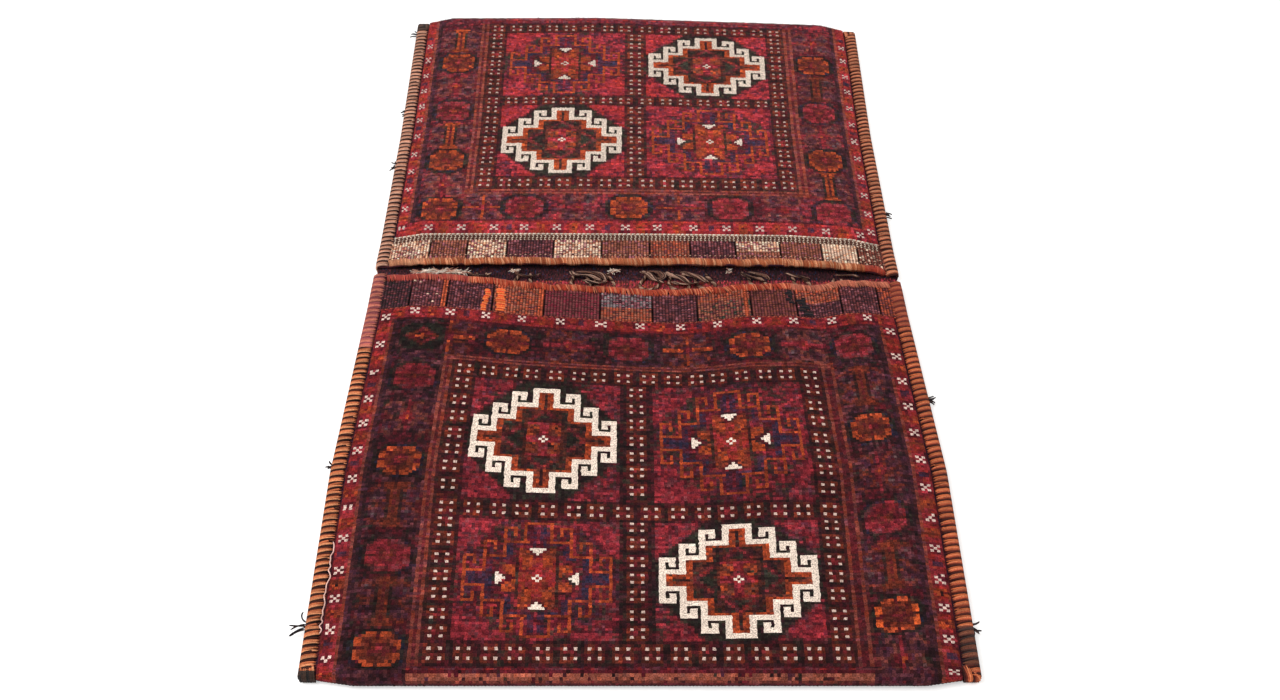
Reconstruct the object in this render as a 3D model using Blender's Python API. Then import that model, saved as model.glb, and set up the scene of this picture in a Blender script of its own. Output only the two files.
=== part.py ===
# Kilim saddle bag, laid flat: one long woven strip folded over at both ends, so that it makes
# two pockets whose mouths face each other across a short bridge of cloth.
# X runs across the bag, Y from the near pocket to the far one, Z up. All sizes are in metres.
import math

import bpy
import bmesh

# The woven strip: its plain back, the flat weave of its fronts and the knotted pile on them
BACK_THICKNESS = 0.003
FRONT_THICKNESS = 0.003
PILE_HEIGHT = 0.005
PILE_SLOPE = 0.0015
POCKET_SLACK = 0.014
SHOULDER_WIDTH = 0.043

# Lengths from the middle of the bridge to the folds, and how far the far fold strays from its
# length over its way across the bag, 0 at the left side
FAR_LENGTH = 0.650
NEAR_LENGTH = 0.6357
FAR_FOLD_LINE = ((0.0, 0.004), (0.41, 0.006), (0.75, -0.009), (1.0, -0.021))

# Width over the side bindings and sideways lean, at five places from the far fold to the near one
FAR_FOLD_WIDTH = 0.7725
FAR_MIDDLE_WIDTH = 0.7574
MOUTH_WIDTH = 0.7577
NEAR_MIDDLE_WIDTH = 0.7802
NEAR_FOLD_WIDTH = 0.7648
FAR_FOLD_LEAN = -0.0074
FAR_MIDDLE_LEAN = -0.0069
MOUTH_LEAN = -0.0051
NEAR_MIDDLE_LEAN = -0.0019
NEAR_FOLD_LEAN = -0.0005
FAR_MIDDLE_PLACE = 0.33
NEAR_MIDDLE_PLACE = -0.34

# Mouth lines: Y of each front's cut edge over its length across the bag, 0 at the left side
FAR_MOUTH_LINE = ((0.0, 0.0275), (0.30, 0.0285), (0.55, 0.0270), (0.80, 0.0240), (1.0, 0.0105))
NEAR_MOUTH_LINE = ((0.0, 0.0065), (0.13, 0.0045), (0.20, -0.0015), (0.30, -0.0125), (0.42, -0.0210),
                   (0.50, -0.0258), (0.575, -0.0283), (0.63, -0.0240), (0.70, -0.0150),
                   (0.78, -0.0145), (0.83, -0.0195), (0.89, -0.0090), (1.0, -0.0066))
MOUTH_LIFT = 0.0015

# Overcast bindings: yarn round the side seams and round the mouth edges
CLEARANCE = 0.0003
SIDE_YARN = 0.0045
SIDE_REACH = 0.0165
SIDE_PITCH = 0.009
MOUTH_YARN = 0.003
MOUTH_REACH = 0.0115
MOUTH_PITCH = 0.0125
YARN_VALLEY = 0.7
SEAM_OPENING = 0.0042

# Flat-woven band at each mouth, with a slit between its blocks for each closure loop
FAR_KILIM_BAND = 0.0487
NEAR_KILIM_BAND = 0.0635
TWINED_BAND = 0.014
TWINED_RAISE = 0.0008
SLIT_WIDTH = 0.003
SLIT_MARGIN = 0.003
FAR_SLITS = (-0.3056, -0.2516, -0.1936, -0.1256, -0.0556, 0.0144, 0.0734, 0.1394, 0.2044, 0.2644, 0.3164)
NEAR_SLITS = (-0.3226, -0.2696, -0.2056, -0.1336, -0.0556, 0.0164, 0.0784, 0.1534, 0.2164, 0.2794, 0.3334)

# Widths of the pattern's bands in the pile, from a side seam to the middle, with their cells
GUARD_WIDTH = 0.0187
LINE_WIDTH = 0.004
GROUND_WIDTH = 0.006
BORDER_WIDTH = 0.068
STRIPE_WIDTH = 0.014
DOTS_WIDTH = 0.033
MIDDLE_WIDTH = 0.038
FIELD_CELLS = 24

# Lengths of the pattern's bands along each pocket, from its mouth to its fold
FAR_BANDS = (("guard", 0.023, 3), ("border", 0.060, 6), ("stripe", 0.010, 1), ("dots", 0.030, 3),
             ("field", 0.173, FIELD_CELLS), ("dots", 0.025, 3), ("field", 0.174, FIELD_CELLS),
             ("dots", 0.028, 3), ("hem", 0.013, 1))
NEAR_BANDS = (("guard", 0.021, 3), ("border", 0.063, 6), ("stripe", 0.008, 1), ("dots", 0.028, 3),
              ("field", 0.188, FIELD_CELLS), ("dots", 0.030, 3), ("field", 0.162, FIELD_CELLS),
              ("dots", 0.032, 3), ("hem", 0.004, 1))
TURN_STEPS = 6

# Repeats of the pattern's small figures. The first octagon's distance is from the mouth edge.
FAR_FIRST_OCTAGON = 0.114
FAR_OCTAGON_SPACING = 0.124
NEAR_FIRST_OCTAGON = 0.055
NEAR_OCTAGON_SPACING = 0.137
MOUTH_OCTAGON_SPACING = 0.154
OCTAGON_SIZE = 0.025
OCTAGON_CORNER = 0.036
OCTAGON_CENTRE = 0.011
COLUMN_HALF_WIDTH = 0.008
GUARD_SPACING = 0.048
CROSS_SIZE = 0.006

# Closure loops of braided yarn, which lie on the bridge between the mouths: name, x and y of the
# root, length and sideways lean. The outline is one loop in shares of its length.
LOOP_DIAMETER = 0.005
LOOP_POINTS = 10
LOOP_OUTLINE = ((-0.26, 0.0), (-0.34, -0.34), (-0.42, -0.66), (-0.20, -0.95), (0.20, -0.95),
                (0.42, -0.66), (0.34, -0.34), (0.26, 0.0))
LOOPS = (
    ("closure_loop_01", -0.2290, 0.0230, 0.0240, 0.3),
    ("closure_loop_02", -0.1660, 0.0215, 0.0290, -0.2),
    ("closure_loop_03", -0.0870, 0.0215, 0.0330, 0.1),
    ("closure_loop_04", -0.0560, 0.0220, 0.0320, 0.25),
    ("closure_loop_05", 0.0190, 0.0210, 0.0330, -0.25),
    ("closure_loop_06", 0.0520, 0.0210, 0.0340, 0.2),
    ("closure_loop_07", 0.0860, 0.0205, 0.0310, 0.4),
    ("closure_loop_08", 0.1620, 0.0190, 0.0260, 0.45),
    ("closure_loop_09", 0.2260, 0.0175, 0.0250, 0.4),
    ("closure_loop_10", 0.2850, 0.0105, 0.0200, -0.2),
)

# Darned mends on the near band: name, left side, right side, distances from the mouth edge, colour
MEND_HEIGHT = 0.0014
MEND_STITCH = 0.005
MENDS = (
    ("bright_mend_left", -0.2210, -0.2085, 0.0290, 0.0625, "bright_yarn"),
    ("bright_mend_right", -0.2025, -0.1870, 0.0250, 0.0600, "bright_yarn"),
    ("dark_mend_left", 0.2030, 0.2135, 0.0135, 0.0560, "dark_yarn"),
    ("dark_mend_right", 0.2190, 0.2320, 0.0135, 0.0600, "dark_yarn"),
)

# Colour, roughness of every yarn
COLOURS = {
    "crimson_pile": ((0.205, 0.010, 0.022), 0.85),
    "dark_pile": ((0.020, 0.011, 0.014), 0.9),
    "ivory_pile": ((0.78, 0.66, 0.56), 0.85),
    "orange_pile": ((0.50, 0.075, 0.020), 0.85),
    "madder_pile": ((0.235, 0.040, 0.024), 0.85),
    "purple_pile": ((0.070, 0.022, 0.048), 0.88),
    "kilim_beige": ((0.36, 0.235, 0.165), 0.9),
    "kilim_brown": ((0.145, 0.045, 0.030), 0.9),
    "kilim_purple": ((0.045, 0.016, 0.026), 0.9),
    "plain_back": ((0.060, 0.020, 0.028), 0.9),
    "side_yarn_orange": ((0.55, 0.125, 0.045), 0.8),
    "side_yarn_dark": ((0.024, 0.010, 0.010), 0.85),
    "near_mouth_yarn": ((0.48, 0.060, 0.024), 0.8),
    "far_mouth_yarn": ((0.52, 0.150, 0.055), 0.8),
    "bright_yarn": ((0.80, 0.080, 0.016), 0.75),
    "dark_yarn": ((0.014, 0.009, 0.008), 0.85),
    "loop_yarn": ((0.085, 0.045, 0.038), 0.85),
}

EDGE_LIFT = SIDE_YARN + CLEARANCE
SELVEDGE = SIDE_REACH + CLEARANCE
FRONT_STACK = BACK_THICKNESS + POCKET_SLACK + FRONT_THICKNESS
TURN_RADIUS = (FRONT_STACK + PILE_HEIGHT) / 2
PATTERN_SIDE = (SELVEDGE + PILE_SLOPE + GUARD_WIDTH + LINE_WIDTH + GROUND_WIDTH
                + BORDER_WIDTH + STRIPE_WIDTH + DOTS_WIDTH)


def clear_scene():
    for item in list(bpy.data.objects):
        bpy.data.objects.remove(item, do_unlink=True)


def yarn_material(name):
    """One Principled material for a yarn, made once and shared."""
    found = bpy.data.materials.get(name)
    if found:
        return found
    colour, roughness = COLOURS[name]
    made = bpy.data.materials.new(name)
    made.use_nodes = True
    shader = made.node_tree.nodes["Principled BSDF"]
    shader.inputs["Base Color"].default_value = (*colour, 1.0)
    shader.inputs["Roughness"].default_value = roughness
    shader.inputs["Metallic"].default_value = 0.0
    made.diffuse_color = (*colour, 1.0)
    return made


def between(value, points):
    """Value read from a broken line of (place, value) points, in rising order of place."""
    if value <= points[0][0]:
        return points[0][1]
    for (low, first), (high, second) in zip(points, points[1:]):
        if value <= high:
            return first + (second - first) * (value - low) / (high - low)
    return points[-1][1]


def side_edges(y):
    """X of the strip's two side edges at a place along it."""
    places = (-NEAR_LENGTH, NEAR_MIDDLE_PLACE, 0.0, FAR_MIDDLE_PLACE, FAR_LENGTH)
    widths = (NEAR_FOLD_WIDTH, NEAR_MIDDLE_WIDTH, MOUTH_WIDTH, FAR_MIDDLE_WIDTH, FAR_FOLD_WIDTH)
    leans = (NEAR_FOLD_LEAN, NEAR_MIDDLE_LEAN, MOUTH_LEAN, FAR_MIDDLE_LEAN, FAR_FOLD_LEAN)
    width = between(y, list(zip(places, widths))) - 2 * EDGE_LIFT
    lean = between(y, list(zip(places, leans)))
    return lean - width / 2, lean + width / 2


LEFT_EDGE, RIGHT_EDGE = side_edges(0.0)


def across(x, y):
    """X at a place along the strip of what lies at x at the mouth. The borders keep their width."""
    left, right = side_edges(y)
    if x <= LEFT_EDGE + PATTERN_SIDE:
        return left + x - LEFT_EDGE
    if x >= RIGHT_EDGE - PATTERN_SIDE:
        return right + x - RIGHT_EDGE
    share = (x - LEFT_EDGE - PATTERN_SIDE) / (RIGHT_EDGE - LEFT_EDGE - 2 * PATTERN_SIDE)
    return left + PATTERN_SIDE + share * (right - left - 2 * PATTERN_SIDE)


def edge_distance(x):
    return min(x - LEFT_EDGE, RIGHT_EDGE - x)


def share_across(x):
    return (x - LEFT_EDGE) / (RIGHT_EDGE - LEFT_EDGE)


def mouth_y(side, x):
    """Y of a front's cut edge. Side is 1 for the far pocket and -1 for the near one."""
    line = FAR_MOUTH_LINE if side > 0 else NEAR_MOUTH_LINE
    return between(share_across(x), line)


def fold_y(side, x):
    """Y of a fold's outermost line."""
    if side < 0:
        return -NEAR_LENGTH
    return FAR_LENGTH + between(share_across(x), FAR_FOLD_LINE)


def kilim_band(side):
    """Width of a pocket's flat-woven band, from its cut edge to its pile."""
    return FAR_KILIM_BAND if side > 0 else NEAR_KILIM_BAND


def shoulder(x):
    """0 in the seam, 1 where the layers lie a full pocket's slack apart."""
    return min(max((edge_distance(x) - SELVEDGE) / SHOULDER_WIDTH, 0.0), 1.0)


def back_under(x):
    return EDGE_LIFT * (1 - shoulder(x))


def fading(side, from_mouth, start, end):
    """A height that is start at the mouth's lip and end where the flat-woven band ends."""
    return between(from_mouth, ((MOUTH_REACH + CLEARANCE, start), (kilim_band(side), end)))


def front_under(side, x, from_mouth):
    """Z of the inner face of a front. The seam opens and the front lifts a little at the mouth."""
    gap = fading(side, from_mouth, SEAM_OPENING, CLEARANCE)
    lift = fading(side, from_mouth, MOUTH_LIFT, 0.0)
    return back_under(x) + BACK_THICKNESS + gap + (POCKET_SLACK + lift - gap) * shoulder(x)


def has_pile(x):
    return edge_distance(x) >= SELVEDGE + PILE_SLOPE / 2


def across_lines():
    """The columns of the strip: their x at the mouth, and the band and cell right of each."""
    side_bands = (("selvedge", SELVEDGE, 1), ("slope", PILE_SLOPE, 1), ("guard", GUARD_WIDTH, 2),
                  ("line", LINE_WIDTH, 1), ("ground", GROUND_WIDTH, 1), ("border", BORDER_WIDTH, 6),
                  ("stripe", STRIPE_WIDTH, 2), ("dots", DOTS_WIDTH, 3))
    field = (RIGHT_EDGE - LEFT_EDGE - MIDDLE_WIDTH) / 2 - PATTERN_SIDE
    inner = (("field", field, FIELD_CELLS), ("middle", MIDDLE_WIDTH, 3), ("field", field, FIELD_CELLS))
    lines = []
    x = LEFT_EDGE
    for turn, bands in enumerate((side_bands, inner, tuple(reversed(side_bands)))):
        for name, width, count in bands:
            for index in range(count):
                place = count - 1 - index if turn == 2 else index
                lines.append((x + width * index / count, name, place))
            x += width
    lines.append((RIGHT_EDGE, "end", 0))
    extra = [LEFT_EDGE + SELVEDGE + SHOULDER_WIDTH, RIGHT_EDGE - SELVEDGE - SHOULDER_WIDTH]
    for middle in FAR_SLITS + NEAR_SLITS:
        extra.extend((middle - SLIT_WIDTH / 2, middle + SLIT_WIDTH / 2))
    for share, _ in FAR_MOUTH_LINE[1:-1] + NEAR_MOUTH_LINE[1:-1] + FAR_FOLD_LINE[1:-1]:
        extra.append(LEFT_EDGE + share * (RIGHT_EDGE - LEFT_EDGE))
    for x in extra:
        before = [line for line in lines if line[0] < x][-1]
        lines.append((x, before[1], before[2]))
        lines.sort(key=lambda line: line[0])
    return lines


def pocket_rows(side):
    """The rows of one pocket from its mouth to the end of its turn: kind, place, band and cell."""
    lip = MOUTH_REACH + CLEARANCE
    start = kilim_band(side)
    rows = [("mouth", 0.0, "kilim", 0), ("mouth", lip, "kilim", 0),
            ("mouth", lip + SLIT_MARGIN, "slit", 0), ("mouth", start - SLIT_MARGIN, "kilim", 0)]
    if side > 0:
        rows.append(("mouth", start, "twined_slope", 0))
        rows.append(("mouth", start + TWINED_RAISE, "twined", 0))
        start += TWINED_BAND
    rows.append(("mouth", start, "slope", 0))
    bands = FAR_BANDS if side > 0 else NEAR_BANDS
    total = sum(band[1] for band in bands)
    run = 0.0
    for name, length, count in bands:
        for index in range(count):
            rows.append(("pile", (start, (run + length * index / count) / total), name, index))
        run += length
    rows.extend(("turn", step / TURN_STEPS, "turn", 0) for step in range(TURN_STEPS))
    return rows


def strip_point(side, row, x):
    """The outer and the inner point of the strip in one row of a pocket at x."""
    kind, place = row[0], row[1]
    mouth = mouth_y(side, x)
    fold = fold_y(side, x)
    length = abs(fold - mouth)
    reach = length - TURN_RADIUS
    if kind == "mouth":
        from_mouth = place
    elif kind == "pile":
        first = place[0] + PILE_SLOPE
        from_mouth = first + (reach - first) * place[1]
    else:
        from_mouth = reach
    y = mouth + side * from_mouth
    under = front_under(side, x, from_mouth)
    pile = PILE_HEIGHT if has_pile(x) else 0.0
    if kind == "mouth":
        twined = side > 0 and row[2] in ("twined", "slope") and has_pile(x)
        pile = TWINED_RAISE if twined else 0.0
    top = under + FRONT_THICKNESS + pile
    if kind != "turn":
        return (across(x, y), y, top), (across(x, y), y, under)
    low = back_under(x)
    inner_low = low + BACK_THICKNESS
    angle = math.pi * (0.5 - place)
    outer_radius = (top - low) / 2
    inner_radius = (under - inner_low) / 2
    outer_y = y + side * outer_radius * math.cos(angle)
    inner_y = y + side * inner_radius * math.cos(angle)
    outer_z = low + outer_radius * (1 + math.sin(angle))
    inner_z = inner_low + inner_radius * (1 + math.sin(angle))
    return (across(x, outer_y), outer_y, outer_z), (across(x, inner_y), inner_y, inner_z)


def back_point(y, x):
    """The outer and the inner point of the plain back, whose outer face is the underside."""
    low = back_under(x)
    return (across(x, y), y, low), (across(x, y), y, low + BACK_THICKNESS)


def border_figure(off, run, spacing):
    """Colour in the main border: octagons a set distance apart, with a column between each two."""
    turn = run / spacing
    whole = math.floor(turn + 0.5)
    along = abs(run - whole * spacing)
    off = abs(off)
    if along < OCTAGON_SIZE and off < OCTAGON_SIZE and along + off < OCTAGON_CORNER:
        if along + off < OCTAGON_CENTRE:
            return "madder_pile"
        return "crimson_pile" if whole % 2 else "orange_pile"
    if off < COLUMN_HALF_WIDTH:
        return "madder_pile" if math.floor(turn) % 2 else "crimson_pile"
    return "dark_pile"


def side_border_figure(side, off, run):
    """Colour in the main border along a side, where run is the distance from the mouth edge."""
    if side > 0:
        return border_figure(off, run - FAR_FIRST_OCTAGON, FAR_OCTAGON_SPACING)
    return border_figure(off, run - NEAR_FIRST_OCTAGON, NEAR_OCTAGON_SPACING)


def guard_figure(off, run):
    """Colour in the guard: small ivory crosses on a red ground."""
    along = run % GUARD_SPACING
    is_cross = abs(along - GUARD_SPACING / 2) < CROSS_SIZE and abs(off) < CROSS_SIZE
    return "ivory_pile" if is_cross else "crimson_pile"


def dotted_figure(cell, turn):
    """Colour in a dotted band: a row of light dots along the middle of a brown ground."""
    return "ivory_pile" if cell == 1 and turn % 4 == 1 else "madder_pile"


def medallion_figure(column, row, light):
    """Colour in a quadrant: a stepped medallion whose three steps on each corner end in hooks."""
    half = FIELD_CELLS // 2
    i = column - half if column >= half else half - 1 - column
    j = row - half if row >= half else half - 1 - row
    outline = "ivory_pile" if light else "orange_pile"
    if i == 2 and 7 <= j <= 10 or i <= 2 and j == 10:
        return outline
    for step in range(3):
        stem = 5 + 3 * step
        bar = 7 - 3 * step
        if j == bar and stem - 3 <= i <= stem or i == stem and bar <= j <= bar + 2:
            return outline
        if i == stem - 1 and j == bar + 2:
            return outline
    if i + j < 4:
        return "crimson_pile" if light else "madder_pile"
    if i + 1 <= 2 + 3 * max(0, math.ceil((7 - j) / 3)) and j < 10:
        return "purple_pile"
    return "crimson_pile" if i // 3 + j // 3 > 5 else "dark_pile"


def kilim_colour(side, x):
    """Colour of the flat-woven block that x lies in."""
    slits = FAR_SLITS if side > 0 else NEAR_SLITS
    block = sum(1 for middle in slits if middle < x)
    far = ("kilim_beige", "kilim_brown", "kilim_beige", "kilim_purple")
    near = ("kilim_purple", "kilim_purple", "kilim_brown")
    return far[block % len(far)] if side > 0 else near[block % len(near)]


def cell_colour(side, column, row, centre_x, centre_run, counts):
    """Colour of one cell of the strip from the bands that cross there."""
    name, place = column[1], column[2]
    band, step = row[2], row[3]
    if band in ("kilim", "slit"):
        return kilim_colour(side, centre_x)
    if band in ("twined", "twined_slope"):
        return "kilim_beige"
    if band in ("turn", "back"):
        return "plain_back"
    if name in ("selvedge", "slope") or band in ("slope", "hem"):
        return "madder_pile"
    from_edge = edge_distance(centre_x)
    guard_middle = SELVEDGE + PILE_SLOPE + GUARD_WIDTH / 2
    border_middle = PATTERN_SIDE - DOTS_WIDTH - STRIPE_WIDTH - BORDER_WIDTH / 2
    if name == "guard":
        return guard_figure(from_edge - guard_middle, centre_run)
    if band == "guard":
        return guard_figure((step - 1) * CROSS_SIZE, centre_x - LEFT_EDGE)
    if name in ("line", "stripe") and (name == "line" or band not in ("border", "guard")):
        return "madder_pile" if place == 0 else "crimson_pile"
    if name == "ground":
        return "dark_pile"
    if name == "border":
        return side_border_figure(side, from_edge - border_middle, centre_run)
    if band == "border":
        off = (step - 2.5) * BORDER_WIDTH / 6
        return border_figure(off, centre_x - LEFT_EDGE - border_middle, MOUTH_OCTAGON_SPACING)
    if band == "stripe":
        return "madder_pile"
    if name == "field" and band == "field":
        right = centre_x > (LEFT_EDGE + RIGHT_EDGE) / 2
        return medallion_figure(place, step, (counts["field"] + right + (side > 0)) % 2 == 0)
    if name == "field":
        return dotted_figure(step, place)
    return dotted_figure(place, counts["row"])


def strip_rows():
    """All rows of the strip from the near mouth round both folds to the far mouth."""
    near = [(-1, row) for row in pocket_rows(-1)]
    far = [(1, row) for row in reversed(pocket_rows(1))]
    backs = [(0, ("back", -NEAR_LENGTH + TURN_RADIUS, "back", 0)),
             (0, ("back", NEAR_MIDDLE_PLACE, "back", 0)), (0, ("back", 0.0, "back", 0)),
             (0, ("back", FAR_MIDDLE_PLACE, "back", 0))]
    last = (1, ("turn", 1.0, "back", 0))
    return near + backs + [last] + far


def strip_grid(columns, rows):
    """The outer and inner points of the whole strip, a row of pairs for each row."""
    grid = []
    for side, row in rows:
        if side == 0:
            grid.append([back_point(row[1], column[0]) for column in columns])
        else:
            grid.append([strip_point(side, row, column[0]) for column in columns])
    return grid


def cell_rows(rows):
    """For each strip of cells between two rows: its pocket, and the row that names its band."""
    cells = []
    for first, second in zip(rows, rows[1:]):
        owner = second if first[0] > 0 or (first[0] == 0 and second[0] > 0) else first
        cells.append(owner)
    return cells


def is_slit(side, row, low, high):
    if row[2] != "slit":
        return False
    slits = FAR_SLITS if side > 0 else NEAR_SLITS
    return any(abs((low + high) / 2 - middle) < SLIT_WIDTH / 2 for middle in slits)


def cell_colours(columns, rows, owners, grid):
    """The colour of every cell of the strip, or None where a slit goes through it."""
    colours = []
    fields = {-1: 0, 1: 0}
    turn = {-1: 0, 1: 0}
    previous = None
    for index, (side, row) in enumerate(owners):
        if side and row[2] == "field" and previous != (side, "field"):
            fields[side] += 1
        previous = (side, row[2])
        if side:
            turn[side] += 1
        line = []
        for place in range(len(columns) - 1):
            low, high = columns[place][0], columns[place + 1][0]
            centre = (low + high) / 2
            if side and is_slit(side, row, low, high):
                line.append(None)
                continue
            middle_y = (grid[index][place][0][1] + grid[index + 1][place][0][1]) / 2
            run = abs(middle_y - mouth_y(side or 1, centre))
            counts = {"field": fields.get(side, 0), "row": turn.get(side, 0)}
            line.append(cell_colour(side, columns[place], row, centre, run, counts))
        colours.append(line)
    return colours


def woven_cloth():
    """The strip as one closed body: two faces of cells, joined along every free edge and slit."""
    columns = across_lines()
    rows = strip_rows()
    owners = cell_rows(rows)
    grid = strip_grid(columns, rows)
    colours = cell_colours(columns, rows, owners, grid)
    names = sorted({colour for line in colours for colour in line if colour})
    mesh = bmesh.new()
    outer = [[mesh.verts.new(pair[0]) for pair in line] for line in grid]
    inner = [[mesh.verts.new(pair[1]) for pair in line] for line in grid]

    def is_cloth(row, column):
        inside = 0 <= row < len(colours) and 0 <= column < len(columns) - 1
        return inside and colours[row][column] is not None

    for row in range(len(colours)):
        for column in range(len(columns) - 1):
            if not is_cloth(row, column):
                continue
            colour = names.index(colours[row][column])
            corners = ((row, column), (row, column + 1), (row + 1, column + 1), (row + 1, column))
            neighbours = ((row - 1, column), (row, column + 1), (row + 1, column), (row, column - 1))
            face = mesh.faces.new([outer[r][c] for r, c in reversed(corners)])
            face.material_index = colour
            face = mesh.faces.new([inner[r][c] for r, c in corners])
            face.material_index = names.index("plain_back")
            for side, neighbour in enumerate(neighbours):
                if is_cloth(*neighbour):
                    continue
                (r1, c1), (r2, c2) = corners[side], corners[(side + 1) % 4]
                face = mesh.faces.new((outer[r1][c1], outer[r2][c2], inner[r2][c2], inner[r1][c1]))
                face.material_index = colour
    loose = [vert for vert in mesh.verts if not vert.link_faces]
    bmesh.ops.delete(mesh, geom=loose, context="VERTS")
    merge_flat_cells(mesh)
    return finish_object("woven_cloth", mesh, names)


def merge_flat_cells(mesh):
    """Cells of one colour in one plane become one face."""
    bmesh.ops.recalc_face_normals(mesh, faces=mesh.faces)
    bmesh.ops.dissolve_limit(mesh, angle_limit=math.radians(0.05), use_dissolve_boundaries=False,
                             verts=mesh.verts, edges=mesh.edges, delimit={"MATERIAL"})


def finish_object(name, mesh, materials):
    data = bpy.data.meshes.new(name)
    bmesh.ops.recalc_face_normals(mesh, faces=mesh.faces)
    mesh.to_mesh(data)
    mesh.free()
    for material in materials:
        data.materials.append(yarn_material(material))
    made = bpy.data.objects.new(name, data)
    bpy.context.collection.objects.link(made)
    return made


def overcast_binding(name, rings, inward, reach, yarn, materials, is_straight):
    """Yarn wound over a cloth edge: a sleeve of C section with a swell for every turn of yarn.

    Each ring holds the edge's x and y and the z of the cloth's two faces there.
    """
    mesh = bmesh.new()
    sections = []
    for index, (x, y, low, high) in enumerate(rings):
        swell = yarn * (1.0 if index % 2 else YARN_VALLEY)
        floor = low - CLEARANCE - yarn
        profile = ((reach, high + CLEARANCE + swell), (-CLEARANCE - swell / 2, high + CLEARANCE + swell),
                   (-CLEARANCE - yarn, low - CLEARANCE), (-CLEARANCE, floor), (reach, floor),
                   (reach, low - CLEARANCE), (-CLEARANCE, low - CLEARANCE),
                   (-CLEARANCE, high + CLEARANCE), (reach, high + CLEARANCE))
        sections.append([mesh.verts.new((x + inward[0] * off, y + inward[1] * off, z))
                         for off, z in profile])
    size = len(sections[0])
    for index, (first, second) in enumerate(zip(sections, sections[1:])):
        for place in range(size):
            following = (place + 1) % size
            face = mesh.faces.new((first[place], first[following], second[following], second[place]))
            face.material_index = index % len(materials) if place in (0, 1) else 0
    mesh.faces.new(list(reversed(sections[0])))
    mesh.faces.new(sections[-1])
    if is_straight:
        merge_flat_cells(mesh)
    return finish_object(name, mesh, materials)


def turns_in(length, pitch):
    """An even number of half turns that fills a length."""
    return 2 * max(1, round(length / pitch))


def side_binding(name, side, left):
    """The overcast seam of one pocket, from its mouth to its fold."""
    x = LEFT_EDGE if left else RIGHT_EDGE
    start = mouth_y(side, x)
    end = fold_y(side, x) - side * TURN_RADIUS
    count = turns_in(abs(end - start), SIDE_PITCH)
    rings = []
    for index in range(count + 1):
        y = start + (end - start) * index / count
        under = front_under(side, x, abs(y - start))
        rings.append((side_edges(y)[0 if left else 1], y, back_under(x), under + FRONT_THICKNESS))
    inward = (1.0, 0.0) if left else (-1.0, 0.0)
    return overcast_binding(name, rings, inward, SIDE_REACH, SIDE_YARN,
                            ("side_yarn_orange", "side_yarn_dark"), True)


def mouth_binding(name, side, material):
    """The overcast lip of one pocket, between its two side seams."""
    start = LEFT_EDGE + SELVEDGE + CLEARANCE
    end = RIGHT_EDGE - SELVEDGE - CLEARANCE
    count = turns_in(end - start, MOUTH_PITCH)
    rings = []
    for index in range(count + 1):
        x = start + (end - start) * index / count
        y = mouth_y(side, x)
        under = front_under(side, x, 0.0)
        rings.append((across(x, y), y, under, under + FRONT_THICKNESS))
    return overcast_binding(name, rings, (0.0, float(side)), MOUTH_REACH, MOUTH_YARN, (material,),
                            False)


def smooth_route(points, count):
    """Evenly spread points on a smooth curve through the given ones."""
    dense = []
    last = len(points) - 1
    for index in range(last):
        p0, p1 = points[max(index - 1, 0)], points[index]
        p2, p3 = points[index + 1], points[min(index + 2, last)]
        for step in range(12):
            t = step / 12
            dense.append(tuple(0.5 * (2 * b + (c - a) * t + (2 * a - 5 * b + 4 * c - d) * t * t
                                      + (3 * b - a - 3 * c + d) * t ** 3)
                               for a, b, c, d in zip(p0, p1, p2, p3)))
    dense.append(points[-1])
    runs = [0.0]
    for first, second in zip(dense, dense[1:]):
        runs.append(runs[-1] + math.dist(first, second))
    table = [list(zip(runs, (point[axis] for point in dense))) for axis in range(len(points[0]))]
    places = [runs[-1] * index / (count - 1) for index in range(count)]
    return [tuple(between(place, line) for line in table) for place in places]


def closure_loop(name, x, y, size, lean):
    """A loop of braided yarn that starts and ends at the cloth edge y and lies on the bridge."""
    z = BACK_THICKNESS + CLEARANCE + LOOP_DIAMETER / 2
    route = [(x + size * (off - lean * along), y + size * along, z) for off, along in LOOP_OUTLINE]
    data = bpy.data.curves.new(name, "CURVE")
    data.dimensions = "3D"
    data.bevel_depth = LOOP_DIAMETER / 2
    data.bevel_resolution = 2
    data.use_fill_caps = True
    spline = data.splines.new("POLY")
    places = smooth_route(route, LOOP_POINTS)
    spline.points.add(len(places) - 1)
    for point, place in zip(spline.points, places):
        point.co = (*place, 1.0)
    data.materials.append(yarn_material("loop_yarn"))
    made = bpy.data.objects.new(name, data)
    bpy.context.collection.objects.link(made)
    return made


def darned_mend(name, left, right, start, end, material):
    """A patch of darning stitches on the near pocket's band, beside a slit."""
    middle = (left + right) / 2
    mouth = mouth_y(-1, middle)
    count = turns_in(end - start, MEND_STITCH)
    mesh = bmesh.new()
    sections = []
    for index in range(count + 1):
        from_mouth = start + (end - start) * index / count
        y = mouth - from_mouth
        low = front_under(-1, middle, from_mouth) + FRONT_THICKNESS + CLEARANCE
        high = low + MEND_HEIGHT * (1.0 if index % 2 else YARN_VALLEY / 2)
        corners = ((left, low), (right, low), (right, high), (left, high))
        sections.append([mesh.verts.new((across(x, y), y, z)) for x, z in corners])
    for first, second in zip(sections, sections[1:]):
        for place in range(4):
            following = (place + 1) % 4
            mesh.faces.new((first[place], first[following], second[following], second[place]))
    mesh.faces.new(list(reversed(sections[0])))
    mesh.faces.new(sections[-1])
    return finish_object(name, mesh, (material,))


def centre_on_origin(made):
    """The bag's middle goes to X and Y zero. Its underside is at Z zero already."""
    points = [vertex.co for item in made if item.type == "MESH" for vertex in item.data.vertices]
    shift = [-(min(p[axis] for p in points) + max(p[axis] for p in points)) / 2 for axis in (0, 1)]
    for item in made:
        item.location = (shift[0], shift[1], 0.0)


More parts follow.
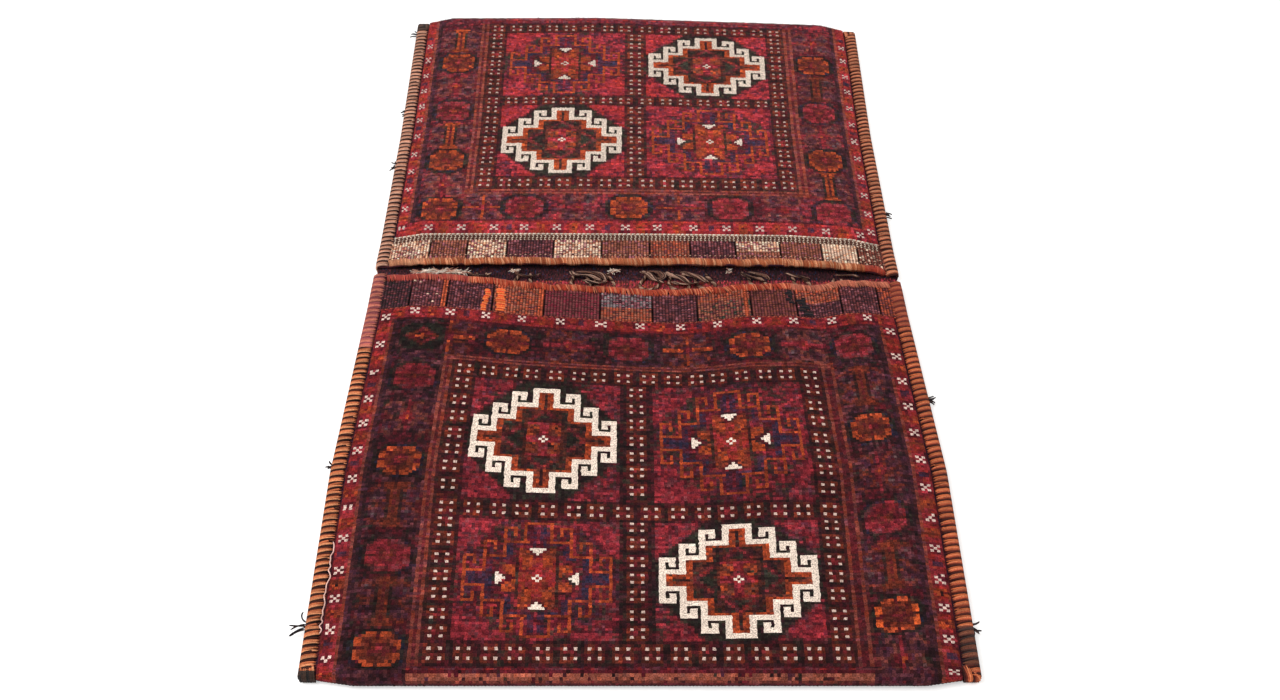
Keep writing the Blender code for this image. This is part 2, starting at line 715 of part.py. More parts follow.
def build():
    clear_scene()
    made = [woven_cloth()]
    for side, pocket in ((1, "far"), (-1, "near")):
        made.append(side_binding(f"{pocket}_left_binding", side, True))
        made.append(side_binding(f"{pocket}_right_binding", side, False))
    made.append(mouth_binding("far_mouth_binding", 1, "far_mouth_yarn"))
    made.append(mouth_binding("near_mouth_binding", -1, "near_mouth_yarn"))
    made.extend(closure_loop(*loop) for loop in LOOPS)
    made.extend(darned_mend(*mend) for mend in MENDS)
    centre_on_origin(made)


build()
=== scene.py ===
# Looks of the kilim saddle bag: knotted wool pile, flat-woven bands, overcast seams and loops.
# Sizes are in metres, X across the bag, Y from the near pocket to the far one, Z up.
import math

import bpy
import numpy as np
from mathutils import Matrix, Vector


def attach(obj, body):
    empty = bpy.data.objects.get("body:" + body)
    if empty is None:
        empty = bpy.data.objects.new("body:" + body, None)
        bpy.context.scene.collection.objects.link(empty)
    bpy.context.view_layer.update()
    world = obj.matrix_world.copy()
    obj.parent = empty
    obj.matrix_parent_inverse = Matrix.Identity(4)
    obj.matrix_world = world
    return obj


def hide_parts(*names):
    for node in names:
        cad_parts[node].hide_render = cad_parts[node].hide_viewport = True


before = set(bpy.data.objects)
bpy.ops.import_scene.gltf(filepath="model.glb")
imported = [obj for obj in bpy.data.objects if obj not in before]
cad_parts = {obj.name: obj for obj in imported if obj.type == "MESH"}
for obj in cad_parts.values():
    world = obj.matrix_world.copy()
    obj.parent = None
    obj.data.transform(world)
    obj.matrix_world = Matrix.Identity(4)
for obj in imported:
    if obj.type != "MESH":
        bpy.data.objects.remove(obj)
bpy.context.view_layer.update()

# The two pockets, as the sign of the side of the mouth gap that each lies on
NEAR, FAR = -1, 1

# Camera, from the photograph's own perspective
CAMERA_PLACE = (0.00264, -1.35555, 1.3347)
CAMERA_DOWN = 47.5
CAMERA_LENS = 37.03

# The folded strip, with the same sizes as the solids
SHIFT = (0.00264, -0.01015)
BACK_THICKNESS = 0.003
FRONT_THICKNESS = 0.003
PILE_HEIGHT = 0.005
PILE_SLOPE = 0.0015
POCKET_SLACK = 0.014
SHOULDER_WIDTH = 0.043
FAR_LENGTH = 0.650
NEAR_LENGTH = 0.6357
FAR_FOLD_LINE = ((0.0, 0.004), (0.41, 0.006), (0.75, -0.009), (1.0, -0.021))
WIDTH_PLACES = (-NEAR_LENGTH, -0.34, 0.0, 0.33, FAR_LENGTH)
WIDTHS = (0.7648, 0.7802, 0.7577, 0.7574, 0.7725)
LEANS = (-0.0005, -0.0019, -0.0051, -0.0069, -0.0074)
MOUTH_LINE = {
    NEAR: ((0.0, 0.0065), (0.13, 0.0045), (0.20, -0.0015), (0.30, -0.0125), (0.42, -0.0210),
           (0.50, -0.0258), (0.575, -0.0283), (0.63, -0.0240), (0.70, -0.0150), (0.78, -0.0145),
           (0.83, -0.0195), (0.89, -0.0090), (1.0, -0.0066)),
    FAR: ((0.0, 0.0275), (0.30, 0.0285), (0.55, 0.0270), (0.80, 0.0240), (1.0, 0.0105)),
}
MOUTH_LIFT = 0.0015
CLEARANCE = 0.0003
SIDE_YARN = 0.0045
SIDE_REACH = 0.0165
MOUTH_YARN = 0.003
MOUTH_REACH = 0.0115
SEAM_OPENING = 0.0042
KILIM_BAND = {NEAR: 0.0635, FAR: 0.0487}
TWINED_BAND = 0.014
PILE_START = {NEAR: KILIM_BAND[NEAR] + PILE_SLOPE, FAR: KILIM_BAND[FAR] + TWINED_BAND + PILE_SLOPE}
SLIT_WIDTH = 0.003
SLIT_MARGIN = 0.003
# The edge warps of a slit bulge over it, so it looks narrower than it is
VISIBLE_SLIT = 0.0014
# Less than this is no distance
ROUNDING = 1e-6
SLITS = {
    NEAR: (-0.3226, -0.2696, -0.2056, -0.1336, -0.0556, 0.0164, 0.0784, 0.1534, 0.2164, 0.2794, 0.3334),
    FAR: (-0.3056, -0.2516, -0.1936, -0.1256, -0.0556, 0.0144, 0.0734, 0.1394, 0.2044, 0.2644, 0.3164),
}
PATTERN_SIDE = 0.1617
EDGE_LIFT = SIDE_YARN + CLEARANCE
SELVEDGE = SIDE_REACH + CLEARANCE
TURN_RADIUS = (BACK_THICKNESS + POCKET_SLACK + FRONT_THICKNESS + PILE_HEIGHT) / 2
LIP = MOUTH_REACH + CLEARANCE

# The weave: rib spacing of the flat bands, and how deep the foundation lies under what is on it
RIB = 0.0042
RIB_HEIGHT = 0.0011
WEFT = 0.0021
INSET = 0.0010
# Painted light on the flat bands: the tops of the ribs are painted paler, a painted highlight, and the wool
# between them darker, a painted shade
RIB_TOP_PAINTED_HIGHLIGHT, RIB_SIDE_PAINTED_SHADE = 1.38, 0.62

LOOP_DIAMETER = 0.005
# Plies of a loop, and the length over which they go round each other once
LOOP_PLIES, LOOP_LAY = 3, 0.013
# The outline that each loop follows, then the loops: number, x, y of the cloth edge, size and lean
LOOP_OUTLINE = ((-0.26, 0.0), (-0.34, -0.34), (-0.42, -0.66), (-0.20, -0.95), (0.20, -0.95),
                (0.42, -0.66), (0.34, -0.34), (0.26, 0.0))
LOOPS = (
    ("01", -0.2290, 0.0230, 0.0240, 0.3), ("02", -0.1660, 0.0215, 0.0290, -0.2),
    ("03", -0.0870, 0.0215, 0.0330, 0.1), ("04", -0.0560, 0.0220, 0.0320, 0.25),
    ("05", 0.0190, 0.0210, 0.0330, -0.25), ("06", 0.0520, 0.0210, 0.0340, 0.2),
    ("07", 0.0860, 0.0205, 0.0310, 0.4), ("08", 0.1620, 0.0190, 0.0260, 0.45),
    ("09", 0.2260, 0.0175, 0.0250, 0.4), ("10", 0.2850, 0.0105, 0.0200, -0.2),
)
# Darned mends on the near band: node, left and right x, distances from the mouth edge, lean, raggedness
BRIGHT_MENDS = (("bright_mend_left", -0.2175, -0.2085, 0.0220, 0.0630, -0.12, 0.0010),
                ("bright_mend_right", -0.2025, -0.1880, 0.0190, 0.0600, 0.03, 0.0010))
DARK_MENDS = (("dark_mend_left", 0.2060, 0.2125, 0.0135, 0.0400, 0.10, 0.0026),
              ("dark_mend_right", 0.2200, 0.2290, 0.0260, 0.0600, 0.12, 0.0034))

# Frayed locks: how high they lie in the gap, and the strands of each
LOCK_HEIGHT = 0.0090
LOCK_STRANDS = 24

# Dyes of the wool, as sRGB
DYES = {
    "crimson": "#a0343e", "deep": "#611c28", "purple": "#4e2a3c", "mauve": "#77434a",
    "navy": "#2b2c44", "dark": "#261a1c", "green": "#32342b", "red": "#a0302b",
    "orange": "#ac4c2b", "bright": "#c65a2c", "rust": "#8a3c28", "brown": "#5f2f26",
    "ivory": "#fbe6d5", "pink": "#e8c8bc", "shell": "#d8bbae", "line": "#8f4c40", "plum": "#3d1f26",
    "beige": "#bd9a86", "tan": "#bb8266", "slate": "#6b5e60", "maroon": "#5a2a2c",
    "umber": "#7a4536", "rose": "#a8624f",
}
# Mixtures of dyes, each with its share, as the knots of one ground vary
CRIMSON_GROUND = {
    NEAR: "crimson .42, mauve .10, deep .26, plum .10, purple .05, green .07",
    FAR: "red .16, crimson .46, deep .22, purple .10, plum .06",
}
MOTTLED_GROUND = {
    NEAR: "crimson .20, deep .26, plum .20, green .20, purple .14",
    FAR: "crimson .32, deep .24, purple .18, plum .14, green .12",
}
DARK_GROUND = "dark .46, green .38, plum .16"
BORDER_GROUND = {
    NEAR: "deep .24, plum .31, dark .15, green .08, mauve .12, purple .10",
    FAR: "deep .34, mauve .14, plum .24, purple .14, crimson .14",
}
ORANGE_MIX = "orange .56, rust .32, bright .06, umber .06"
DULL_ORANGE_MIX = "orange .30, rust .36, umber .26, green .08"
CRIMSON_MIX = "crimson .46, deep .30, red .18, mauve .06"
RUST_MIX = "rust .46, brown .34, orange .20"
LEAF_MIX = "purple .46, slate .06, plum .24, mauve .24"

# How much of each light comes back from a pocket's wool: the near pocket's dyes are deeper, and the
# borders of both are darker than the fields
POCKET_DEPTH = {NEAR: (0.80, 0.68, 0.68), FAR: (1.20, 1.06, 1.02)}
BAND_DEPTH = {"border": 0.76, "dots": 0.78, "middle": 0.86, "guard": 0.88}
IVORY_DEPTH = {NEAR: 0.90, FAR: 0.76}
# The orange dyes keep their glow in the darker bands, and are duller in the far pocket
GLOWING_DEPTH = {NEAR: 1.0, FAR: 0.78}
LIGHT_DYES = ("ivory", "pink", "shell")
GLOWING_DYES = ("orange", "bright", "rose")
BRIGHTEST_WOOL = 0.95

random = np.random.default_rng(20)


def linear(colour):
    """An sRGB hex colour as linear red, green and blue."""
    channels = [int(colour[place:place + 2], 16) / 255 for place in (1, 3, 5)]
    return tuple(c / 12.92 if c <= 0.04045 else ((c + 0.055) / 1.055) ** 2.4 for c in channels)


DYE_NAMES = list(DYES)
DYE_TABLE = np.array([linear(DYES[name]) for name in DYE_NAMES])


def dye(name):
    return DYE_NAMES.index(name)


# ---------------------------------------------------------------- the strip's surface


def broken_line(value, points):
    return np.interp(value, [point[0] for point in points], [point[1] for point in points])


def side_edges(y):
    width = np.interp(y, WIDTH_PLACES, WIDTHS) - 2 * EDGE_LIFT
    lean = np.interp(y, WIDTH_PLACES, LEANS)
    return lean - width / 2, lean + width / 2


LEFT_EDGE, RIGHT_EDGE = (float(edge) for edge in side_edges(0.0))


def across(x, y):
    """X at y of the warp that lies at x at the mouth. The side borders keep their width."""
    left, right = side_edges(y)
    share = (x - LEFT_EDGE - PATTERN_SIDE) / (RIGHT_EDGE - LEFT_EDGE - 2 * PATTERN_SIDE)
    middle = left + PATTERN_SIDE + share * (right - left - 2 * PATTERN_SIDE)
    return np.where(share <= 0, left + x - LEFT_EDGE, np.where(share >= 1, right + x - RIGHT_EDGE, middle))


def between_seams(margin):
    """The first and the last x of the cloth between the seams, this far inside them."""
    return LEFT_EDGE + SELVEDGE + margin, RIGHT_EDGE - SELVEDGE - margin


def share_across(x):
    return (x - LEFT_EDGE) / (RIGHT_EDGE - LEFT_EDGE)


def mouth_y(side, x):
    return broken_line(share_across(x), MOUTH_LINE[side])


def fold_y(side, x):
    if side == NEAR:
        return np.full_like(np.asarray(x, float), -NEAR_LENGTH)
    return FAR_LENGTH + broken_line(share_across(x), FAR_FOLD_LINE)


def reach_of(side, x):
    """Distance from a front's cut edge to where its fold starts to turn."""
    return np.abs(fold_y(side, x) - mouth_y(side, x)) - TURN_RADIUS


def shoulder(x):
    distance = np.minimum(x - LEFT_EDGE, RIGHT_EDGE - x)
    return np.clip((distance - SELVEDGE) / SHOULDER_WIDTH, 0.0, 1.0)


def back_under(x):
    return EDGE_LIFT * (1 - shoulder(x))


def front_under(side, x, from_mouth):
    gap = np.interp(from_mouth, (LIP, KILIM_BAND[side]), (SEAM_OPENING, CLEARANCE))
    lift = np.interp(from_mouth, (LIP, KILIM_BAND[side]), (MOUTH_LIFT, 0.0))
    return back_under(x) + BACK_THICKNESS + gap + (POCKET_SLACK + lift - gap) * shoulder(x)


def laid(x, y, z):
    """Points in the shared frame, from x at the mouth, y along the strip and the height."""
    return np.stack([across(x, y) + SHIFT[0], y + SHIFT[1], z], axis=-1)


def front_surface(side, x, from_mouth, up):
    """Points of a front's outer face, raised by up, from the mouth over the fold to the underside."""
    x, from_mouth = np.broadcast_arrays(np.asarray(x, float), np.asarray(from_mouth, float))
    reach = reach_of(side, x)
    flat = np.minimum(from_mouth, reach)
    top = front_under(side, x, flat) + FRONT_THICKNESS + up
    low = back_under(x)
    radius = (top - low) / 2
    angle = np.clip((from_mouth - reach) / TURN_RADIUS, 0.0, math.pi)
    y = mouth_y(side, x) + side * (flat + radius * np.sin(angle))
    return laid(x, y, low + radius * (1 + np.cos(angle)))


def back_surface(x, y, up):
    x, y = np.broadcast_arrays(np.asarray(x, float), np.asarray(y, float))
    return laid(x, y, back_under(x) + up)


def between(lines):
    """The middles between neighbouring lines."""
    return (lines[1:] + lines[:-1]) / 2


# ---------------------------------------------------------------- mesh and material helpers


def in_scene(name, data):
    made = bpy.data.objects.new(name, data)
    bpy.context.scene.collection.objects.link(made)
    return made


def new_mesh(name, points, faces, colours=None):
    """A mesh object, with the dye of every face as a corner colour where colours are given."""
    data = bpy.data.meshes.new(name)
    data.from_pydata(np.asarray(points).reshape(-1, 3).tolist(), [], [list(face) for face in faces])
    if colours is not None:
        sizes = [len(face) for face in faces]
        spread = np.repeat(np.asarray(colours, np.float32), sizes, axis=0)
        rgba = np.concatenate([spread, np.ones((len(spread), 1), np.float32)], axis=1)
        layer = data.color_attributes.new("dye", "FLOAT_COLOR", "CORNER")
        layer.data.foreach_set("color", rgba.ravel())
    return in_scene(name, data)


def grid_faces(rows, columns, keep=None):
    """Quads of a grid of points, counted along its rows, without the cells that keep leaves out."""
    row, column = np.mgrid[0:rows - 1, 0:columns - 1]
    first = (row * columns + column).ravel()
    faces = np.stack([first, first + 1, first + columns + 1, first + columns], axis=1)
    return faces if keep is None else faces[np.asarray(keep).ravel()]


def smooth(piece):
    piece.data.polygons.foreach_set("use_smooth", [True] * len(piece.data.polygons))
    return piece


def add_node(tree, kind, values=None, links=None, **settings):
    """Adds a node with its settings, the values of its inputs and the links that come into it."""
    node = tree.nodes.new(kind)
    for name, value in settings.items():
        setattr(node, name, value)
    for name, value in (values or {}).items():
        node.inputs[name].default_value = value
    for name, source in (links or {}).items():
        tree.links.new(source, node.inputs[name])
    return node


def new_material(name, roughness, sheen):
    """A material's tree with its shader, whose roughness and sheen are set on its own sockets."""
    made = bpy.data.materials.new(name)
    made.use_nodes = True
    tree = made.node_tree
    shader = tree.nodes["Principled BSDF"]
    for socket, value in (("Roughness", roughness), ("Specular IOR Level", 0.15),
                          ("Sheen Weight", sheen), ("Sheen Roughness", 0.5)):
        shader.inputs[socket].default_value = value
    place = add_node(tree, "ShaderNodeTexCoord").outputs["Object"]
    return made, tree, shader, place


def uneven_colour(tree, shader, place, colour, broad, fine):
    """Gives the shader a colour that a broad noise and a fine one make lighter and darker.

    Each noise is its scale in waves a metre, and the least and the most light that it lets through.
    """
    for (scale, low, high), detail in ((broad, 3.0), (fine, 1.0)):
        noise = add_node(tree, "ShaderNodeTexNoise", {"Scale": scale, "Detail": detail}, {"Vector": place})
        light = add_node(tree, "ShaderNodeMapRange", {"From Min": 0.3, "From Max": 0.7, "To Min": low,
                                                      "To Max": high}, {"Value": noise.outputs["Fac"]})
        colour = add_node(tree, "ShaderNodeVectorMath", {}, {0: colour, 1: light.outputs["Result"]},
                          operation="MULTIPLY").outputs["Vector"]
    tree.links.new(colour, shader.inputs["Base Color"])


def shade_steps(tree, number, steps):
    """Shades that follow each other without blending, each from its own place between 0 and 1."""
    ramp = add_node(tree, "ShaderNodeValToRGB", {}, {"Fac": number})
    ramp.color_ramp.interpolation = "CONSTANT"
    elements = ramp.color_ramp.elements
    elements[0].color = (*linear(steps[0][1]), 1)
    elements[1].position = steps[-1][0]
    elements[1].color = (*linear(steps[-1][1]), 1)
    for position, shade in steps[1:-1]:
        elements.new(position).color = (*linear(shade), 1)
    return ramp.outputs["Color"]


def relief(tree, shader, height, depth, strength):
    bump = add_node(tree, "ShaderNodeBump", {"Strength": strength, "Distance": depth},
                    {"Height": height.outputs["Fac"]})
    tree.links.new(bump.outputs["Normal"], shader.inputs["Normal"])


def weft_relief(tree, shader, place):
    """Fine wefts that cross the strip, about 2 mm apart and beaten down hard."""
    wefts = add_node(tree, "ShaderNodeTexWave", {"Scale": 160.0, "Distortion": 1.5, "Detail": 1.0},
                     {"Vector": place}, bands_direction="Y")
    relief(tree, shader, wefts, depth=0.0005, strength=0.5)


def knotted_pile():
    """Hand-knotted wool, sheared: matt cut ends with a soft sheen, each knot its own shade."""
    made, tree, shader, place = new_material("hand_knotted_sheared_wool", 0.95, 0.03)
    dyed = add_node(tree, "ShaderNodeVertexColor", layer_name="dye").outputs["Color"]
    # The cut ends of the yarn are under 2 mm across
    uneven_colour(tree, shader, place, dyed, (9.0, 0.88, 1.12), (620.0, 0.50, 1.52))
    fuzz = add_node(tree, "ShaderNodeTexNoise", {"Scale": 650.0, "Detail": 3.0}, {"Vector": place})
    relief(tree, shader, fuzz, depth=0.0012, strength=0.6)
    return made


def flat_weave():
    """Weft-faced plain weave: ribs over the warps, crossed by fine wefts beaten down hard."""
    made, tree, shader, place = new_material("weft_faced_plain_weave", 0.9, 0.04)
    dyed = add_node(tree, "ShaderNodeVertexColor", layer_name="dye").outputs["Color"]
    uneven_colour(tree, shader, place, dyed, (60.0, 0.82, 1.18), (900.0, 0.78, 1.22))
    weft_relief(tree, shader, place)
    return made


def plain_back_weave():
    """Plain weave of the back: dull madder and plum wool in broad weft stripes."""
    made, tree, shader, place = new_material("plain_weave_wool_back", 0.92, 0.04)
    drawn_out = add_node(tree, "ShaderNodeMapping", {"Scale": (0.4, 26.0, 0.4)}, {"Vector": place})
    stripes = add_node(tree, "ShaderNodeTexNoise", {"Scale": 1.0, "Detail": 2.0},
                       {"Vector": drawn_out.outputs["Vector"]})
    dyed = shade_steps(tree, stripes.outputs["Fac"], ((0.0, "#4a2029"), (0.44, "#3a1c2c"),
                                                      (0.52, "#5a2228"), (0.62, "#6b2a26")))
    uneven_colour(tree, shader, place, dyed, (40.0, 0.8, 1.2), (800.0, 0.75, 1.25))
    weft_relief(tree, shader, place)
    return made


def spun_wool(name, shades, stretches=(), axis="Y", mixed=False):
    """Plied wool yarn. The shades follow each other turn by turn, or mixed, every turn a little its own.

    Stretches are the places, as a lowest and a highest X or Y, where the yarn has more of another
    colour, with that colour and its share.
    """
    made, tree, shader, place = new_material(name, 0.85, 0.06)
    count = len(shades)
    number = add_node(tree, "ShaderNodeAttribute", attribute_name="turn").outputs["Fac"]
    own = add_node(tree, "ShaderNodeTexWhiteNoise", {}, {"W": number}, noise_dimensions="1D")
    if mixed:
        shade_place = own.outputs["Color"]
    else:
        # Half a turn more keeps the number clear of its rounding
        shade_place = number
        for operation, amount in (("ADD", 0.5), ("MODULO", float(count)), ("DIVIDE", float(count))):
            shade_place = add_node(tree, "ShaderNodeMath", {1: amount}, {0: shade_place},
                                   operation=operation).outputs["Value"]
    colour = shade_steps(tree, shade_place, [(turn / count, shade) for turn, shade in enumerate(shades)])
    along = add_node(tree, "ShaderNodeSeparateXYZ", {}, {"Vector": place}).outputs[axis]
    for low, high, shade, share in stretches:
        there = add_node(tree, "ShaderNodeMath", {1: (low + high) / 2, 2: (high - low) / 2}, {0: along},
                         operation="COMPARE")
        part = add_node(tree, "ShaderNodeMath", {1: share}, {0: there.outputs["Value"]},
                        operation="MULTIPLY")
        colour = add_node(tree, "ShaderNodeMix", {7: (*linear(shade), 1)},
                          {0: part.outputs["Value"], 6: colour}, data_type="RGBA").outputs[2]
    lot = add_node(tree, "ShaderNodeMapRange", {"To Min": 0.72, "To Max": 1.25},
                   {"Value": own.outputs["Value"]})
    shaded = add_node(tree, "ShaderNodeVectorMath", {}, {0: colour, 1: lot.outputs["Result"]},
                      operation="MULTIPLY").outputs["Vector"]
    uneven_colour(tree, shader, place, shaded, (45.0, 0.78, 1.22), (900.0, 0.7, 1.3))
    twist = add_node(tree, "ShaderNodeTexWave", {"Scale": 320.0, "Distortion": 3.0, "Detail": 1.0},
                     {"Vector": place}, bands_direction="DIAGONAL")
    relief(tree, shader, twist, depth=0.0006, strength=0.6)
    return made


# ---------------------------------------------------------------- the knotted design

# Bands across each pocket, as the left ones from the seam in, the middle ones and the right ones from
# the seam in. Each is a name, its knots and its width in mm; the middle ones share what is left.
COLUMN_BANDS = {
    NEAR: ("guard 5 19.2, line 1 4.0, ground 2 8.5, border 17 69.5, stripe 3 12.5, dots 8 34.0",
           "field 49 195.0, middle 10 43.0, field 49 198.0",
           "guard 5 21.0, line 1 4.2, ground 2 8.5, border 17 66.0, stripe 4 17.0, dots 8 32.0"),
    FAR: ("guard 5 15.2, line 1 4.0, ground 2 7.5, border 17 68.5, stripe 3 12.5, dots 8 32.0",
          "field 49 196.0, middle 8 35.0, field 49 198.0",
          "guard 5 16.7, line 1 4.0, ground 2 6.5, border 17 66.5, stripe 3 14.0, dots 8 31.0"),
}
# Bands along each pocket, from the pile's start to the fold: name, rows and width in mm
ROW_BANDS = {
    NEAR: "guard 6 21.0, border 18 63.0, stripe 3 8.0, dots 8 28.0, field 53 188.0, dots 8 30.0, "
          "field 49 162.0, dots 8 32.0, hem 2 4.0",
    FAR: "guard 6 23.0, border 17 60.0, stripe 3 10.0, dots 8 30.0, field 51 173.0, dots 8 25.0, "
         "field 51 174.0, dots 8 28.0, hem 4 13.0",
}
# A knot's usual width and height in mm, and the height of a weft on the turn of the fold in metres
KNOT_WIDTH, KNOT_HEIGHT = 4.0, 3.55
TURN_HEIGHT = 0.0045
TURN_ROWS = 8
TURN_DYES = {NEAR: ("deep", "rose", "rose", "line", "deep", "plum", "dark", "dark"),
             FAR: ("mauve", "plum", "dark", "purple", "dark", "plum", "dark", "dark")}

# Motifs of the main border: kind, ring colour and place. Places down the sides are distances from
# the mouth edge, and those along the mouth are x, all in mm.
SIDE_MOTIFS = {
    (NEAR, "left"): "diamond crimson 122, octagon crimson 195, leaf crimson 265, octagon orange 335, "
                    "column rust 404, octagon crimson 477, column rust 540, octagon orange 602",
    (NEAR, "right"): "octagon crimson 126, column rust 197, octagon orange 268, leaf mauve 338, "
                     "octagon crimson 408, column rust 476, octagon bright 543, leaf crimson 600",
    (FAR, "left"): "octagon orange 114, leaf crimson 170, octagon orange 228, column orange 290, "
                   "octagon crimson 354, leaf crimson 420, octagon orange 485, column orange 550",
    (FAR, "right"): "octagon crimson 114, column orange 176, octagon orange 237, leaf mauve 297, "
                    "octagon crimson 357, column rust 422, octagon orange 487, leaf mauve 550",
}
MOUTH_MOTIFS = {
    NEAR: "cross rust -257, octagon orange -177, leaf mauve -98, octagon crimson -17, cross rust 62, "
          "octagon orange 144, leaf crimson 217",
    FAR: "cross orange -236, octagon crimson -173, leaf mauve -92, octagon orange -16, cross orange 60, "
         "octagon crimson 136, leaf crimson 216",
}
# No motif reaches further than this from its middle, in mm
MOTIF_REACH = 36
OCTAGON_HALF = {NEAR: (27.0, 22.0), FAR: (28.0, 24.5)}
# Each dotted square's length down and across the bag, in mm
SQUARE_DOWN, SQUARE_ACROSS = 26.6, 31.0
# Crosses of the guard: distances from the mouth edge down each side, and x along the mouth, in mm
SIDE_CROSSES = {
    (NEAR, "left"): (82, 132, 184, 229, 272, 316, 360, 405, 451, 494, 535, 574, 613),
    (NEAR, "right"): (96, 141, 186, 230, 275, 319, 363, 408, 452, 494, 534, 574, 616),
    (FAR, "left"): (80, 122, 167, 210, 252, 296, 338, 374, 415, 457, 502, 542),
    (FAR, "right"): (84, 126, 169, 212, 255, 298, 341, 384, 427, 470, 513, 553),
}
MOUTH_CROSSES = {
    NEAR: (-354, -309, -262, -213, -161, -108, -54, -1, 53, 103, 159, 208, 262, 311, 351),
    FAR: (-312, -264, -217, -170, -122, -73, -22, 27, 80, 129, 176, 226, 276, 324),
}


def listed(words):
    """The entries of a written list, each as its words, with its numbers as numbers."""
    return [[int(word) if word.lstrip("-").isdigit() else float(word) if "." in word else word
             for word in entry.split()] for entry in words.split(", ")]


def spread_bands(bands, start, end):
    """Bands that fill start to end: the line after each knot, and its band, place in it and count."""
    total = sum(width for _, _, width in bands)
    lines, knots = [start], []
    for name, count, width in bands:
        for index in range(count):
            lines.append(lines[-1] + width / count * (end - start) / total)
            knots.append((name, index, count))
    return lines[1:], knots


def as_arrays(lines, knots):
    return np.array(lines), *(np.array(part) for part in zip(*knots))


def pocket_columns(side):
    """Lines between the knots of a pocket, as x at the mouth, with the band of each column."""
    left, middle, right = (listed(bands) for bands in COLUMN_BANDS[side])
    right = right[::-1]
    first, last = between_seams(PILE_SLOPE)
    left_end = first + sum(width for _, _, width in left) / 1000
    right_start = last - sum(width for _, _, width in right) / 1000
    lines, knots = [first], []
    for bands, start, end in ((left, first, left_end), (middle, left_end, right_start),
                              (right, right_start, last)):
        more_lines, more_knots = spread_bands(bands, start, end)
        lines += more_lines
        knots += more_knots
    return as_arrays(lines, knots)


def pocket_rows(side):
    """Lines between the wefts of a pocket as shares of its pile, over 1 on the turn of the fold."""
    lines, knots = spread_bands(listed(ROW_BANDS[side]), 0.0, 1.0)
    lines = [0.0] + lines
    for index in range(TURN_ROWS):
        lines.append(lines[-1] + TURN_HEIGHT / (NEAR_LENGTH - PILE_START[side]))
        knots.append(("turn", index, TURN_ROWS))
    return as_arrays(lines, knots)


def patches(shape, tall=8, wide=13, grain=0.8):
    """A number from 0 to 1 for each knot, alike over patches that are longer along the wefts."""
    coarse = random.random((shape[0] // tall + 3, shape[1] // wide + 3))
    y, x = np.arange(shape[0]) / tall, np.arange(shape[1]) / wide
    i, j = y.astype(int), x.astype(int)
    down, over = (y - i)[:, None], (x - j)[None, :]
    upper = coarse[i][:, j] * (1 - over) + coarse[i][:, j + 1] * over
    lower = coarse[i + 1][:, j] * (1 - over) + coarse[i + 1][:, j + 1] * over
    mixed = upper * (1 - down) + lower * down + grain * random.random(shape)
    return mixed.argsort(axis=None).argsort().reshape(shape) / mixed.size


def fill(chart, mask, mixture, level=None):
    """Knots of the mask get the dyes of a mixture, picked by level, or at random without one.

    A mixture is written as its dyes, each with its share: "rust .7, brown .3".
    """
    names, shares = zip(*listed(mixture))
    ends = np.cumsum(shares)
    numbers = random.random(int(mask.sum())) if level is None else level[mask]
    picked = np.minimum(np.searchsorted(ends / ends[-1], numbers, side="right"), len(names) - 1)
    chart[mask] = np.array([dye(name) for name in names])[picked]


def steps(j, limits):
    """The half width of a stepped form at each row, from pairs of a last row and a width."""
    return np.select([j <= last for last, _ in limits], [width for _, width in limits], -1)


def hooked_outline(i, j, wide):
    """Knots of the stepped outline, some knots wide, whose three steps on each corner end in hooks."""
    more = wide - 1
    outline = (i >= 4 - more) & (i <= 4) & (j >= 15) & (j <= 23) | (i <= 4) & (j >= 23 - more) & (j <= 23)
    for step in range(3):
        stem = 10 + 6 * step
        bar = 15 - 6 * step
        inner_end = 3 if step == 0 else stem - 6
        outline |= (j >= bar) & (j <= bar + more) & (i >= inner_end) & (i <= stem + more)
        outline |= (i >= stem) & (i <= stem + more) & (j >= max(bar - 6, 0)) & (j <= bar + 6)
        outline |= (j >= bar + 6 - more) & (j <= bar + 6) & (i >= stem - 3) & (i <= stem + more)
        outline |= (i >= stem - 3) & (i <= stem - 3 + more) & (j >= bar + 3) & (j <= bar + 6)
    return outline


